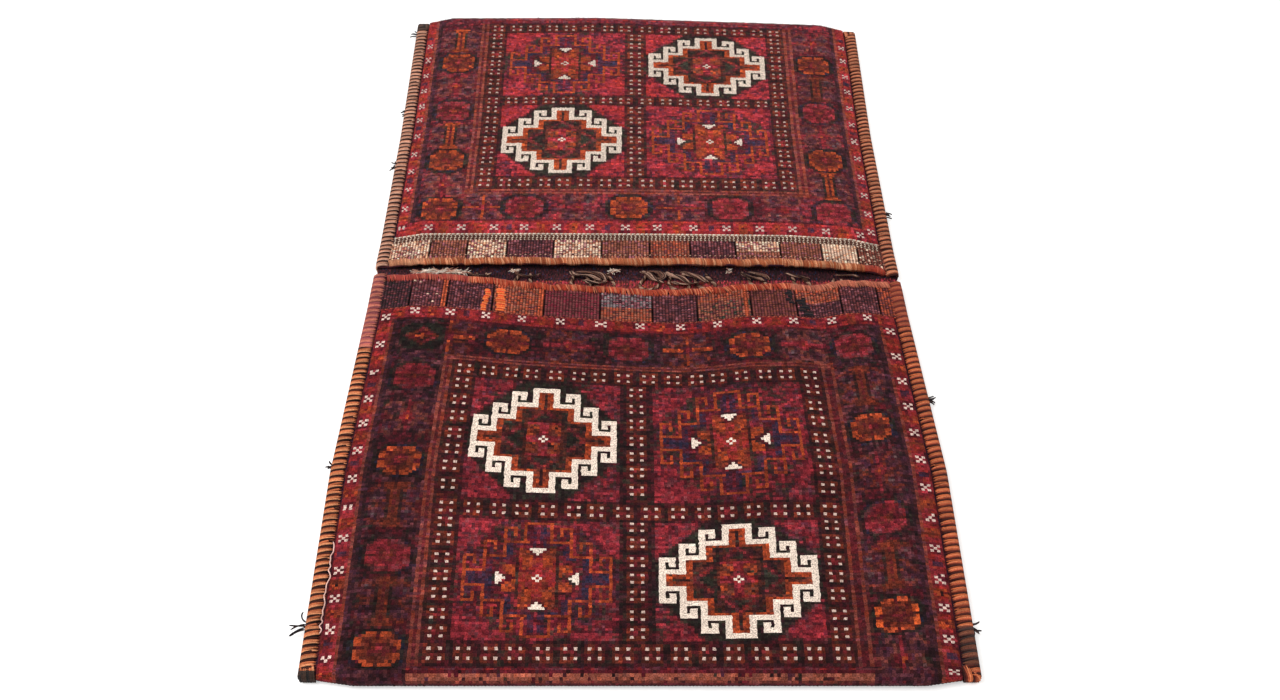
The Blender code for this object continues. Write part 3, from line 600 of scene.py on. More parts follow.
def medallion(i, j, light, side):
    """Dyes of a quadrant's knots, counted from its middle: a stepped medallion with hooked corners."""
    i, j = np.abs(i), np.abs(j)
    chart = np.zeros(i.shape, int)
    fill(chart, i >= 0, CRIMSON_GROUND[side], patches(i.shape, grain=1.5))
    octagon = i * 4.0 + j * 3.5 < 126
    inside = i <= steps(j, ((2, 21), (8, 15), (14, 9), (21, 2)))
    core = i <= steps(j, ((1, 19), (7, 13), (13, 7), (20, 0)))
    body = (i <= 13) & (j <= 13)
    block = (i <= 6) & (j <= 8)
    if light:
        fill(chart, octagon, DARK_GROUND)
        fill(chart, inside, ORANGE_MIX)
        fill(chart, core, RUST_MIX)
        fill(chart, core & body, "dark .30, plum .22, brown .26, green .22")
        fill(chart, core & ((i == 0) & (j > 13) | (j == 0) & (i > 13)), DARK_GROUND)
        triangle = np.minimum(i, j * 1.2)
        fill(chart, (i >= 8) & (i <= 12) & (j <= 12 - i), "green .7, dark .3")
        fill(chart, (i >= 8) & (i <= 13) & (j == 13 - i), CRIMSON_MIX)
        fill(chart, (j >= 9) & (j <= 12) & (i <= 12 - j), "green .5, plum .5")
        fill(chart, (j >= 9) & (j <= 13) & (i == 13 - j), CRIMSON_MIX)
        fill(chart, block, CRIMSON_MIX)
        fill(chart, block & (triangle >= 2) & (i <= 5) & (j <= 6), DULL_ORANGE_MIX)
        fill(chart, block & (np.abs(i - j * 0.85) < 0.6) & (i > 1), "brown .6, dark .4")
        fill(chart, (i == 6) & (j <= 8) | (j == 8) & (i <= 6), "dark .5, brown .5")
    else:
        fill(chart, octagon, MOTTLED_GROUND[side], patches(i.shape, 5, 6, 1.6))
        fill(chart, inside, "navy .40, purple .34, deep .26")
        fill(chart, core, "crimson .20, deep .34, plum .26, green .20")
        fill(chart, core & (i >= 14), "navy .5, purple .5")
        fill(chart, core & (j >= 14), "crimson .5, deep .5")
        fill(chart, (i >= 2) & (i <= 5) & (j >= 9) & (j <= 12), RUST_MIX)
        bow = (i >= 7) & (i <= 10) & (j >= 1) & (j <= 5) & (j * 2 >= i - 5)
        fill(chart, bow, ORANGE_MIX)
        fill(chart, block, "red .36, crimson .26, rust .38")
        fill(chart, block & (i >= 2) & (i <= 4) & (j >= 4) & (i + j >= 7), ORANGE_MIX)
        fill(chart, block & (np.abs(i - j * 0.8) < 0.6) & (i > 1), "brown .7, deep .3")
        fill(chart, (i == 6) & (j <= 8), "dark .6, green .4")
        fill(chart, (j <= 12) & (j >= 9) & (i <= j - 9), "deep .6, plum .4")
        chart[(j <= 12) & (j >= 10) & (i <= j - 10)] = dye("ivory")
        chart[(i <= 12) & (i >= 10) & (j <= i - 10)] = dye("ivory")
    outline = hooked_outline(i, j, 2 if light else 1)
    if light:
        chart[outline] = dye("ivory")
    else:
        fill(chart, outline, "orange .72, rust .28")
    chart[i + j == 1] = dye("ivory")
    chart[(i == 0) & (j == 0)] = dye("red")
    return chart


def paint_octagon(chart, ring, half, wide, tall):
    """A lobed octagon with a mottled heart. Wide runs across the bag and tall along it, in mm."""
    w, t = np.abs(wide) / half[0], np.abs(tall) / half[1]
    red = ring == "crimson"
    fill(chart, (w < 1.24) & (t < 1.18) & (w + t < 1.80), "dark .62, green .24, navy .14")
    whole = (w < 1) & (t < 1) & (w + t < 1.5)
    fill(chart, whole, "crimson .7, mauve .3" if red else "orange .75, rust .25")
    if ring == "bright":
        fill(chart, whole & (w > 0.6), "bright .7, orange .3")
    inner = (w < 0.74) & (t < 0.72) & (w + t < 1.08)
    fill(chart, inner, "deep .5, crimson .5" if red else "rust .72, brown .28")
    spokes = whole & (w + t > 0.5) & ((w < 0.10) | (t < 0.12) | (np.abs(w - t) < 0.09))
    fill(chart, spokes, "deep .5, brown .5")
    fill(chart, (w < 0.40) & (t < 0.42) & (w + t < 0.60), "brown .5, deep .5")
    fill(chart, w + t < 0.22, "crimson .5, rust .5")


def paint_leaves(chart, rim, side, over, along):
    """Four rimmed leaves round a motif's middle. Over and along are mm across and down the border."""
    a, b = np.abs(np.abs(over) - 19.5), np.abs(np.abs(along) - 14.5)
    leaf = np.maximum(a, 0.6 * a + 0.8 * b)
    fill(chart, leaf < 12.0, f"{rim} .80, plum .20" if side == NEAR else f"{rim} .80, mauve .20")
    fill(chart, leaf < 9.2, LEAF_MIX)
    fill(chart, leaf < 3.4, "dark .5, deep .5")


def paint_motif(chart, side, kind, ring, over, along, wide, tall):
    """Paints one border motif. Over and along are mm from its middle, across and down the border."""
    a, b = np.abs(over), np.abs(along)
    if kind == "octagon":
        paint_octagon(chart, ring, OCTAGON_HALF[side], wide, tall)
        return
    if kind == "diamond":
        fill(chart, (a < 30) & (b < 24) & (a + b < 44), "dark .5, green .5")
        fill(chart, a + b * 1.25 < 21, "crimson .4, rust .6")
        fill(chart, a + b * 1.25 < 14, "deep .6, dark .4")
        fill(chart, a + b * 1.25 < 8.5, "orange .7, rust .3")
        return
    paint_leaves(chart, "line" if side == FAR or ring == "crimson" else "rust", side, over, along)
    if kind == "column":
        fill(chart, (a < 11) & (b < 34), "dark .7, green .3")
        stem = (a < 6.5 + np.maximum(0, b - 22) * 0.9) & (b < 33)
        fill(chart, stem, "orange .6, rust .4" if ring == "orange" else "rust .6, brown .4")
        fill(chart, (a < 2.1) & (b < 26), "brown .5, deep .5")
    elif kind == "cross":
        fill(chart, (a < 2.1) & (b < 34) | (b < 2.4) & (a < 27), "orange .6, rust .4")
        fill(chart, a + b < 7, "crimson .5, deep .5")
    else:
        fill(chart, (a < 2.3) & (b < 31), "crimson .6, deep .4")
        fill(chart, a + b < 11, CRIMSON_MIX)
        fill(chart, a + b < 4.5, "rust .6, orange .4")


def dotted_squares(chart, mask, over, step, size):
    """Brown squares down a dotted band, with one light knot in each corner of a square.

    Over is the distance from the band's middle in knots, and step and size are each knot's place in
    its square and the square's length in knots.
    """
    middle = (size - 1) / 2
    u, v = np.abs(over), np.abs(step - middle)
    fill(chart, mask, "dark .42, plum .30, green .12, deep .16")
    fill(chart, mask & (u <= 3) & (v <= middle - 0.5), "brown .42, deep .30, rust .28")
    fill(chart, mask & (u <= 1) & (v <= 1.1), "dark .4, crimson .3, brown .3")
    chart[mask & np.isin(step, (2, 5)) & (np.abs(u - 1.5) < 0.1)] = dye("shell")


def square_steps(inner, pitch):
    """Each knot's place in its square and that square's length, along a line of knots, where inner."""
    steps, sizes = np.zeros(len(inner)), np.full(len(inner), 8.0)
    count = int(inner.sum())
    squares = max(1, round(count / pitch))
    ends = np.round(np.arange(squares + 1) * count / squares).astype(int)
    index = np.searchsorted(ends, np.arange(count), side="right") - 1
    steps[inner], sizes[inner] = np.arange(count) - ends[index], ends[index + 1] - ends[index]
    return steps, sizes


def guard_crosses(chart, mask, over, along, centres, pitch):
    """Red guard stripe with light crosses of five knots, and a block halfway between each two."""
    fill(chart, mask, "red .40, crimson .32, deep .20, rust .08")
    j = np.round(over)
    for turn, centre in enumerate(centres):
        following = centres[turn + 1] if turn + 1 < len(centres) else centre + 45
        halfway = np.abs(along - (centre + following) / 2)
        if turn % 3 == 2:
            fill(chart, mask & (halfway < 4) & (np.abs(j) <= 1), "purple .6, navy .4")
        else:
            fill(chart, mask & (halfway < 6) & (np.abs(j) <= 2), "rust .5, red .3, orange .2")
            fill(chart, mask & (halfway < 2) & (np.abs(j) <= 0), "deep .6, dark .4")
        i = np.round((along - centre) / pitch)
        near = mask & (np.abs(i) <= 1) & (np.abs(j) <= 1)
        fill(chart, mask & (np.abs(i) <= 2) & (np.abs(j) <= 2), "crimson .5, deep .5")
        chart[near & (np.abs(i) == np.abs(j))] = dye("pink")


def place_motifs(chart, side, motifs, zone, over, along, turned):
    """Paints the motifs of a border. Over and along are mm from its middle and down it."""
    for kind, ring, centre in listed(motifs):
        near = zone & (np.abs(along - centre) < MOTIF_REACH)
        part, beside, down = chart[near], over[near], (along - centre)[near]
        wide, tall = (down, beside) if turned else (beside, down)
        paint_motif(part, side, kind, ring, beside, down, wide, tall)
        chart[near] = part


def design(side, lines, columns, rows):
    """The dye of every knot of a pocket, as a row for each weft from the mouth to the fold."""
    names, places, counts = columns
    row_names, row_places, row_counts, share = rows
    x = between(lines)
    X, S = np.meshgrid(x, share)
    start = PILE_START[side]
    run = (start + (reach_of(side, X) - start) * S) * 1000
    column, band = np.meshgrid(names, row_names)
    # Distances from the middle of a band, in knots
    over_column, over_row = np.meshgrid(places - (counts - 1) / 2, row_places - (row_counts - 1) / 2)
    row_place = np.meshgrid(places, row_places)[1]
    halves = (("left", X < 0), ("right", X >= 0))
    chart = np.zeros(X.shape, int)

    def columns_of(*wanted):
        return np.isin(column, wanted)

    def rows_of(*wanted):
        return np.isin(band, wanted)

    inside_stripes = columns_of("stripe", "dots", "field", "middle")
    inside_guards = inside_stripes | columns_of("border")
    fill(chart, chart == 0, BORDER_GROUND[side], patches(X.shape, 6, 6, 1.0))
    side_border = columns_of("border") & ~rows_of("guard")
    for name, half in halves:
        place_motifs(chart, side, SIDE_MOTIFS[side, name], side_border & half, over_column * KNOT_WIDTH,
                     run, False)
    place_motifs(chart, side, MOUTH_MOTIFS[side], rows_of("border") & inside_stripes,
                 over_row * KNOT_HEIGHT, X * 1000, True)
    firsts = [row for row in range(len(row_names)) if row_names[row] == "field" and row_places[row] == 0]
    for half in (x < 0, x >= 0):
        found = np.nonzero((names == "field") & half)[0]
        for turn, first in enumerate(firsts):
            count = int(row_counts[first])
            span = slice(first, first + count)
            i, j = np.meshgrid(places[found] - 24, row_places[span] - (count - 1) // 2)
            light = (turn + int(x[found[0]] > 0)) % 2 == 0
            chart[span, found[0]:found[-1] + 1] = medallion(i, j, light, side)
    # Thin lines between the bands
    tan_line = "line .55, rust .30, mauve .15"
    beside = columns_of("stripe") & ~rows_of("border", "guard")
    across_band = rows_of("stripe") & inside_stripes
    fill(chart, beside | across_band, "deep .6, plum .4")
    edge_line = beside & (np.abs(over_column) > 0.9) | across_band & (np.abs(over_row) > 0.9)
    fill(chart, edge_line, tan_line)
    fill(chart, columns_of("line") & ~rows_of("guard"), tan_line)
    fill(chart, columns_of("ground") & ~rows_of("guard"), "plum .4, purple .3, dark .3")
    fill(chart, rows_of("border") & (row_place == 0) & inside_guards, "deep .5, plum .5")
    # Dotted bands
    steps_down, sizes_down = square_steps(np.isin(row_names, ("dots", "field")), SQUARE_DOWN / KNOT_HEIGHT)
    mask = columns_of("dots", "middle") & rows_of("dots", "field")
    dotted_squares(chart, mask, over_column, steps_down[:, None], sizes_down[:, None])
    steps_over, sizes_over = square_steps(np.isin(names, ("dots", "field", "middle")),
                                          SQUARE_ACROSS / KNOT_WIDTH)
    mask = rows_of("dots") & columns_of("dots", "field", "middle")
    dotted_squares(chart, mask, over_row, steps_over[None, :], sizes_over[None, :])
    # Guards
    for name, half in halves:
        guard_crosses(chart, columns_of("guard") & half, over_column, run, SIDE_CROSSES[side, name],
                      KNOT_HEIGHT)
    guard_crosses(chart, rows_of("guard") & ~columns_of("guard"), np.floor(over_row + 1), X * 1000,
                  MOUTH_CROSSES[side], KNOT_WIDTH)
    # Hem stripes at the fold, between the side stripes, and the borders' own grounds beside them
    hem = rows_of("hem") & inside_stripes
    fill(chart, hem, "deep .5, plum .3, purple .2")
    fill(chart, hem & (row_place % 2 == 1), "red .2, mauve .4, deep .4")
    turned = rows_of("turn")
    fill(chart, turned & columns_of("border"), "plum .35, mauve .25, purple .25, deep .15")
    turn_dyes = np.array([dye(name) for name in TURN_DYES[side]])
    striped = turned & inside_stripes & (random.random(X.shape) < 0.85)
    chart[striped] = turn_dyes[row_place[striped]]
    fill(chart, turned & (row_place > 4), "plum .5, dark .3, purple .2")
    return chart


def abrash(chart, side, band):
    """Colours of the knots: uneven dye lots in weft stripes, streaks, and a shade for each knot."""
    light = np.isin(chart, [dye(name) for name in LIGHT_DYES])
    glowing = np.isin(chart, [dye(name) for name in GLOWING_DYES])
    band_depth = np.ones(band.shape)
    for name, value in BAND_DEPTH.items():
        band_depth[band == name] = value
    band_depth[glowing] = GLOWING_DEPTH[side]
    depth = np.array(POCKET_DEPTH[side]) * band_depth[..., None]
    colours = DYE_TABLE[chart] * np.where(light[..., None], IVORY_DEPTH[side], depth)
    # Pile ends lean over their neighbours, so the dark dyes run into each other a little
    crisp = light | glowing
    blended = colours * 0.6
    for step, axis in ((1, 0), (-1, 0), (1, 1), (-1, 1)):
        beside, beside_crisp = np.roll(colours, step, axis), np.roll(crisp, step, axis)
        blended += 0.1 * np.where(beside_crisp[..., None], colours, beside)
    colours = np.where(crisp[..., None], colours, blended)
    rows, columns = chart.shape
    stops = np.arange(0, rows + 6, 6)
    lots = np.interp(np.arange(rows), stops, random.normal(0.0, 0.09, len(stops)))
    streak = random.normal(0.0, 0.15, (rows, columns // 5 + 2)).repeat(5, axis=1)[:, :columns]
    shade = np.exp(lots[:, None] + streak + random.normal(0.0, 0.23, chart.shape))
    if side == NEAR:
        # The near pocket's border is paler towards its right side than its left one
        shade *= np.where(band == "border", np.linspace(0.88, 1.24, columns), 1.0)
    shade = np.where(light, 1 + (shade - 1) * 0.16, shade)
    warm = random.normal(0.0, 0.06, chart.shape) * ~light
    colours = colours * np.clip(shade, 0.4, 2.0)[..., None]
    colours[..., 0] *= 1 + warm
    colours[..., 2] *= 1 - warm
    return np.clip(colours, 0.0, BRIGHTEST_WOOL)


def knotted_front(name, side):
    """One front's pile: a pyramid for each knot, low between the knots and uneven on top."""
    lines, names, places, counts = pocket_columns(side)
    row_lines, row_names, row_places, row_counts = pocket_rows(side)
    middles = between(row_lines)
    chart = design(side, lines, (names, places, counts), (row_names, row_places, row_counts, middles))
    column, row = np.meshgrid(names, row_names)
    outer = np.where(np.isin(row, ("guard", "border")), row, column)
    band = np.where(column == "guard", "guard", np.where(row == "dots", "dots", outer))
    colours = abrash(chart, side, band).reshape(-1, 3)
    start = PILE_START[side]

    def pile_points(x, share, up):
        return front_surface(side, x, start + (reach_of(side, x) - start) * share, up)

    X, S = np.meshgrid(lines, row_lines)
    # The valleys between rows are deeper than those between columns
    low = PILE_HEIGHT - 0.0016 + random.normal(0.0, 0.0002, X.shape)
    low[0, :] = low[-1, :] = low[:, 0] = low[:, -1] = 0.0002
    wander = random.normal(0.0, 0.00035, X.shape)
    wander[:, 0] = wander[:, -1] = 0.0
    corners = pile_points(X + wander, S, low)
    CX, CS = np.meshgrid(between(lines), middles)
    # The pile leans 0.6 mm towards the fold
    lean = 0.0006 / 0.53
    tops = pile_points(CX + random.normal(0.0, 0.0003, CX.shape), CS + lean,
                       PILE_HEIGHT + random.normal(0.0, 0.00045, CX.shape))
    quads = grid_faces(*X.shape)
    tip = np.arange(len(quads)) + X.size
    sides = [(quads[:, place], quads[:, (place + 1) % 4])[::side] + (tip,) for place in range(4)]
    faces = np.stack([np.stack(corner, axis=1) for corner in sides], axis=1).reshape(-1, 3)
    points = np.concatenate([corners.reshape(-1, 3), tops.reshape(-1, 3)])
    return smooth(new_mesh(name, points, faces, np.repeat(colours, 4, axis=0)))


# ---------------------------------------------------------------- flat-woven parts


def rib_lines(slits, first, last):
    """Lines across a band, three to a rib, with none in a slit. 1 marks the two on a rib's top."""
    edges = [first]
    for middle in slits:
        edges.extend((middle - VISIBLE_SLIT / 2, middle + VISIBLE_SLIT / 2))
    edges.append(last)
    lines = []
    for block, (low, high) in enumerate(zip(edges[::2], edges[1::2])):
        count = max(1, round((high - low) / RIB))
        lines.extend((low + (high - low) * (rib + share) / count, top, block)
                     for rib in range(count) for share, top in ((0.0, 0), (0.28, 1), (0.72, 1)))
        lines.append((high, 0, block))
    return (np.array(part) for part in zip(*lines))


# Mixtures of the blocks between the slits, from the left
SPECKLED = "beige .50, tan .18, umber .18, mauve .14"
RIBBED_BROWN = "umber .56, brown .24, mauve .20"
RIBBED_PLUM = "plum .45, maroon .40, mauve .15"
RUSTY = "rust .42, umber .40, maroon .18"
NIGHT = "dark .40, plum .45, maroon .15"
MULBERRY = "plum .36, maroon .46, mauve .16, beige .02"
KILIM_BLOCKS = {
    NEAR: (NIGHT, MULBERRY, RIBBED_PLUM, RUSTY, "maroon .7, deep .3", "slate .5, mauve .3, plum .2",
           RIBBED_PLUM, RUSTY, "maroon .6, brown .4", RUSTY, RIBBED_PLUM, "rust .5, maroon .5"),
    FAR: (SPECKLED, RIBBED_BROWN, SPECKLED, RIBBED_PLUM, SPECKLED, RIBBED_BROWN, RUSTY, RIBBED_PLUM,
          SPECKLED, RIBBED_BROWN, "beige .8, tan .2", "brown .8, beige .2"),
}
# Stripes of the bridge: a first y and the mixture from there. The dark stripes from y 0.010 on, under the
# far lip, are dye and a painted shadow of the lip
BRIDGE_STRIPES_AND_PAINTED_SHADE = ((-1.0, "deep .5, maroon .5"),
                  (-0.020, "crimson .4, rust .2, maroon .4"),
                  (0.010, "navy .08, dark .42, plum .40, maroon .10"),
                  (0.05, "plum .5, dark .5"))
# How far the bridge's ribs run under both mouths, and the back's ribs towards the far fold
BRIDGE_HALF = 0.085
BACK_END = 0.615
# Orange warps near the slits of the near band, as x
NEAR_ORANGE_RIBS = (-0.2745, -0.138, 0.146)


def kilim_band(name, side):
    """A mouth band in weft-faced weave: colour blocks between the slits, ribbed along the warps."""
    width = KILIM_BAND[side]
    lines, tops, blocks = rib_lines(SLITS[side], *between_seams(-0.003))
    slit_length = width - 2 * SLIT_MARGIN - LIP
    count = round(slit_length / WEFT)
    depth = np.array([LIP - 0.003, LIP + SLIT_MARGIN,
                      *(LIP + SLIT_MARGIN + slit_length * (index + 1) / count for index in range(count)),
                      width, width + PILE_SLOPE + 0.001])
    X, M = np.meshgrid(lines, depth)
    rib = tops[None, :] * RIB_HEIGHT - INSET * 0.5
    beat = np.where(np.arange(len(depth)) % 2 == 0, 0.00025, -0.00025)[:, None] * (1 - 2 * tops[None, :])
    points = front_surface(side, X, M, rib + beat + random.normal(0.0, 0.00012, X.shape))
    same = blocks[1:] == blocks[:-1]
    in_slit_rows = ((depth[:-1] >= LIP + SLIT_MARGIN - ROUNDING)
                    & (depth[1:] <= width - SLIT_MARGIN + ROUNDING))
    keep = same[None, :] | ~in_slit_rows[:, None]
    chart = np.zeros((len(depth) - 1, len(lines) - 1), int)
    x, m = np.meshgrid(between(lines), between(depth))
    block_of = blocks[:-1][None, :] + np.zeros(chart.shape, int)
    # A weft keeps its shade over one rib
    rib_of = np.cumsum((tops[:-1] == 0) & (tops[1:] == 1))
    level = random.random((len(chart), rib_of[-1] + 1))[:, rib_of]
    for block, mixture in enumerate(KILIM_BLOCKS[side]):
        fill(chart, block_of == block, mixture, level)
    if side == FAR:
        fill(chart, (block_of == 8) & (m < 0.027), RIBBED_BROWN, level)
    else:
        fill(chart, (block_of == 5) & (m > 0.037), RUSTY, level)
        fill(chart, (block_of == 7) & (m > 0.030), "umber .5, maroon .3, green .2", level)
        fill(chart, (block_of == 9) & (m > 0.035), RIBBED_PLUM, level)
        for edge in NEAR_ORANGE_RIBS:
            fill(chart, np.abs(x - edge) < 0.0035, "orange .3, rust .7")
    on_top = (tops[1:] == 1) & (tops[:-1] == 1)
    beside_slit = ~same | np.roll(~same, 1) | np.roll(~same, -1)
    # Every other weft painted lighter and the next darker: painted light and shade of the weft bumps
    weft_bumps_painted_light_and_shade = np.where(np.arange(len(chart)) % 2 == 0, 1.24, 0.84)[:, None]
    # Rib tops painted lighter and the wool between them darker: painted highlight and painted shade
    light = np.where(on_top, RIB_TOP_PAINTED_HIGHLIGHT, RIB_SIDE_PAINTED_SHADE)[None, :] * weft_bumps_painted_light_and_shade
    # Painted shade on the ribs beside each slit
    light = light * np.where(beside_slit, 0.5, 1.0)[None, :]
    uneven = np.clip(random.normal(1.14, 0.34, (len(chart), rib_of[-1] + 1)), 0.35, 2.2)[:, rib_of]
    colours = DYE_TABLE[chart] * (light * uneven)[..., None]
    colours = colours.reshape(-1, 3)[keep.ravel()]
    faces = grid_faces(len(depth), len(lines), keep)[:, ::side]
    return smooth(new_mesh(name, points, faces, np.clip(colours, 0, BRIGHTEST_WOOL)))


def foundation(name):
    """The whole folded strip, a little thinner than the finished cloth, closed round its edges."""
    xs = [LEFT_EDGE, *between_seams(0.0), *between_seams(SHOULDER_WIDTH), RIGHT_EDGE]
    for middle in SLITS[NEAR] + SLITS[FAR]:
        xs.extend((middle - SLIT_WIDTH / 2, middle + SLIT_WIDTH / 2))
    for line in (*MOUTH_LINE.values(), FAR_FOLD_LINE):
        xs.extend(LEFT_EDGE + share * (RIGHT_EDGE - LEFT_EDGE) for share, _ in line[1:-1])
    x = np.array(sorted(set(xs)))
    outer, inner, kinds = [], [], []

    def front_rows(side):
        band = KILIM_BAND[side]
        for m in (0.0, LIP, LIP + SLIT_MARGIN, band - SLIT_MARGIN, band, band + 0.12, band + 0.26,
                  band + 0.40):
            outer.append(front_surface(side, x, m, -INSET))
            inner.append(front_surface(side, x, m, -FRONT_THICKNESS))
            kinds.append((side, m))
        reach = reach_of(side, x)
        low = back_under(x)
        for step in range(9):
            angle = math.pi * step / 8
            top = front_under(side, x, reach) + FRONT_THICKNESS
            for rows, high, under in ((outer, top - INSET, low + INSET),
                                      (inner, top - FRONT_THICKNESS, low + BACK_THICKNESS)):
                radius = (high - under) / 2
                y = mouth_y(side, x) + side * (reach + radius * math.sin(angle))
                rows.append(laid(x, y, under + radius * (1 + math.cos(angle))))
            kinds.append((side, 1.0))

    front_rows(NEAR)
    for y in (-0.34, 0.0, 0.33):
        outer.append(back_surface(x, y, INSET))
        inner.append(back_surface(x, y, BACK_THICKNESS))
        kinds.append((0, 0.0))
    half = len(outer)
    front_rows(FAR)
    for rows in (outer, inner, kinds):
        rows[half:] = reversed(rows[half:])
    rows, columns = len(outer), len(x)
    centres = between(x)

    def is_cloth(row, column):
        if not (0 <= row < rows - 1 and 0 <= column < columns - 1):
            return False
        side = kinds[row][0]
        if side == 0 or kinds[row + 1][0] != side:
            return True
        low, high = sorted((kinds[row][1], kinds[row + 1][1]))
        if low < LIP + SLIT_MARGIN - ROUNDING or high > KILIM_BAND[side] - SLIT_MARGIN + ROUNDING:
            return True
        return all(abs(centres[column] - middle) > SLIT_WIDTH / 2 - ROUNDING for middle in SLITS[side])

    points = np.concatenate([np.array(outer).reshape(-1, 3), np.array(inner).reshape(-1, 3)])
    size = rows * columns
    faces = []
    for row in range(rows - 1):
        for column in range(columns - 1):
            if not is_cloth(row, column):
                continue
            corners = [(row, column), (row, column + 1), (row + 1, column + 1), (row + 1, column)]
            numbers = [r * columns + c for r, c in corners]
            faces.append(numbers[::-1])
            faces.append([number + size for number in numbers])
            beside = ((row - 1, column), (row, column + 1), (row + 1, column), (row, column - 1))
            for place, neighbour in enumerate(beside):
                if not is_cloth(*neighbour):
                    first, second = numbers[place], numbers[(place + 1) % 4]
                    faces.append([first, second, second + size, first + size])
    return new_mesh(name, points, faces)


def ribbed_sheet(name, ys, place, height, flip, stripes=()):
    """Ribs along the warps over a stretch of the back. Stripes are a first y and the mixture from there."""
    count = round((RIGHT_EDGE - LEFT_EDGE - 0.004) / RIB)
    lines = np.linspace(LEFT_EDGE + 0.002, RIGHT_EDGE - 0.002, 2 * count + 1)
    tops = np.arange(len(lines)) % 2
    X, Y = np.meshgrid(lines, ys)
    up = place + height * tops[None, :] + random.normal(0.0, 0.00006, X.shape)
    up[0, :] = up[-1, :] = place
    points = back_surface(X, Y, up)
    faces = grid_faces(len(ys), len(lines))
    if flip:
        faces = faces[:, ::-1]
    if not stripes:
        return smooth(new_mesh(name, points, faces))
    chart = np.zeros((len(ys) - 1, len(lines) - 1), int)
    middle = (Y[1:, 1:] + Y[:-1, 1:]) / 2
    for first, mixture in stripes:
        fill(chart, middle >= first, mixture)
    colours = DYE_TABLE[chart] * np.clip(random.normal(1.15, 0.40, chart.shape), 0.4, 2.2)[..., None]
    return smooth(new_mesh(name, points, faces, colours.reshape(-1, 3)))


# ---------------------------------------------------------------- yarn


def unit(vectors):
    return vectors / (np.linalg.norm(vectors, axis=1, keepdims=True) + 1e-12)


def run_of(points):
    """How far along a path each of its points lies."""
    return np.concatenate([[0], np.cumsum(np.linalg.norm(np.diff(points, axis=0), axis=1))])


def tube(points, radius, sides=6, end_scale=0.35):
    """Points and faces of a closed tube of yarn along a path."""
    points = np.asarray(points, float)
    count = len(points)
    tangent = unit(np.gradient(points, axis=0))
    reference = np.array([0.0, 0.0, 1.0]) if abs(tangent[:, 2]).mean() < 0.8 else np.array([0.0, 1.0, 0.0])
    across_part = unit(np.cross(tangent, reference))
    up_part = np.cross(across_part, tangent)
    radii = np.full(count, radius)
    radii[0] = radii[-1] = radius * end_scale
    angles = 2 * math.pi * np.arange(sides) / sides
    rings = (points[:, None, :] + radii[:, None, None]
             * (np.cos(angles)[None, :, None] * across_part[:, None, :]
                + np.sin(angles)[None, :, None] * up_part[:, None, :]))
    faces = []
    for ring in range(count - 1):
        for place in range(sides):
            following = (place + 1) % sides
            faces.append((ring * sides + place, (ring + 1) * sides + place,
                          (ring + 1) * sides + following, ring * sides + following))
    faces.append(tuple(range(sides)))
    faces.append(tuple((count - 1) * sides + place for place in reversed(range(sides))))
    return rings.reshape(-1, 3), faces


def yarn_mesh(name, paths, radius, sides=5):
    """One mesh of several yarns, each along its own path."""
    points, faces, numbers = [], [], []
    for number, path in enumerate(paths):
        more, shape = tube(path, radius, sides)
        start = len(numbers)
        faces.extend(tuple(start + corner for corner in face) for face in shape)
        points.append(more)
        numbers.extend([number] * len(more))
    made = smooth(new_mesh(name, np.concatenate(points), faces))
    layer = made.data.attributes.new("turn", "FLOAT", "POINT")
    layer.data.foreach_set("value", np.array(numbers, np.float32))
    return made


def smooth_path(points, count):
    """Evenly spread points on a smooth curve through the given ones."""
    points = np.asarray(points, float)
    padded = np.vstack([points[0], points, points[-1]])
    dense = []
    for index in range(1, len(padded) - 2):
        p0, p1, p2, p3 = padded[index - 1:index + 3]
        t = np.linspace(0, 1, 12, endpoint=False)[:, None]
        dense.append(0.5 * (2 * p1 + (p2 - p0) * t + (2 * p0 - 5 * p1 + 4 * p2 - p3) * t ** 2
                            + (3 * p1 - p0 - 3 * p2 + p3) * t ** 3))
    dense = np.vstack(dense + [points[-1:]])
    run = run_of(dense)
    places = np.linspace(0, run[-1], count)
    return np.stack([np.interp(places, run, dense[:, axis]) for axis in range(3)], axis=1)


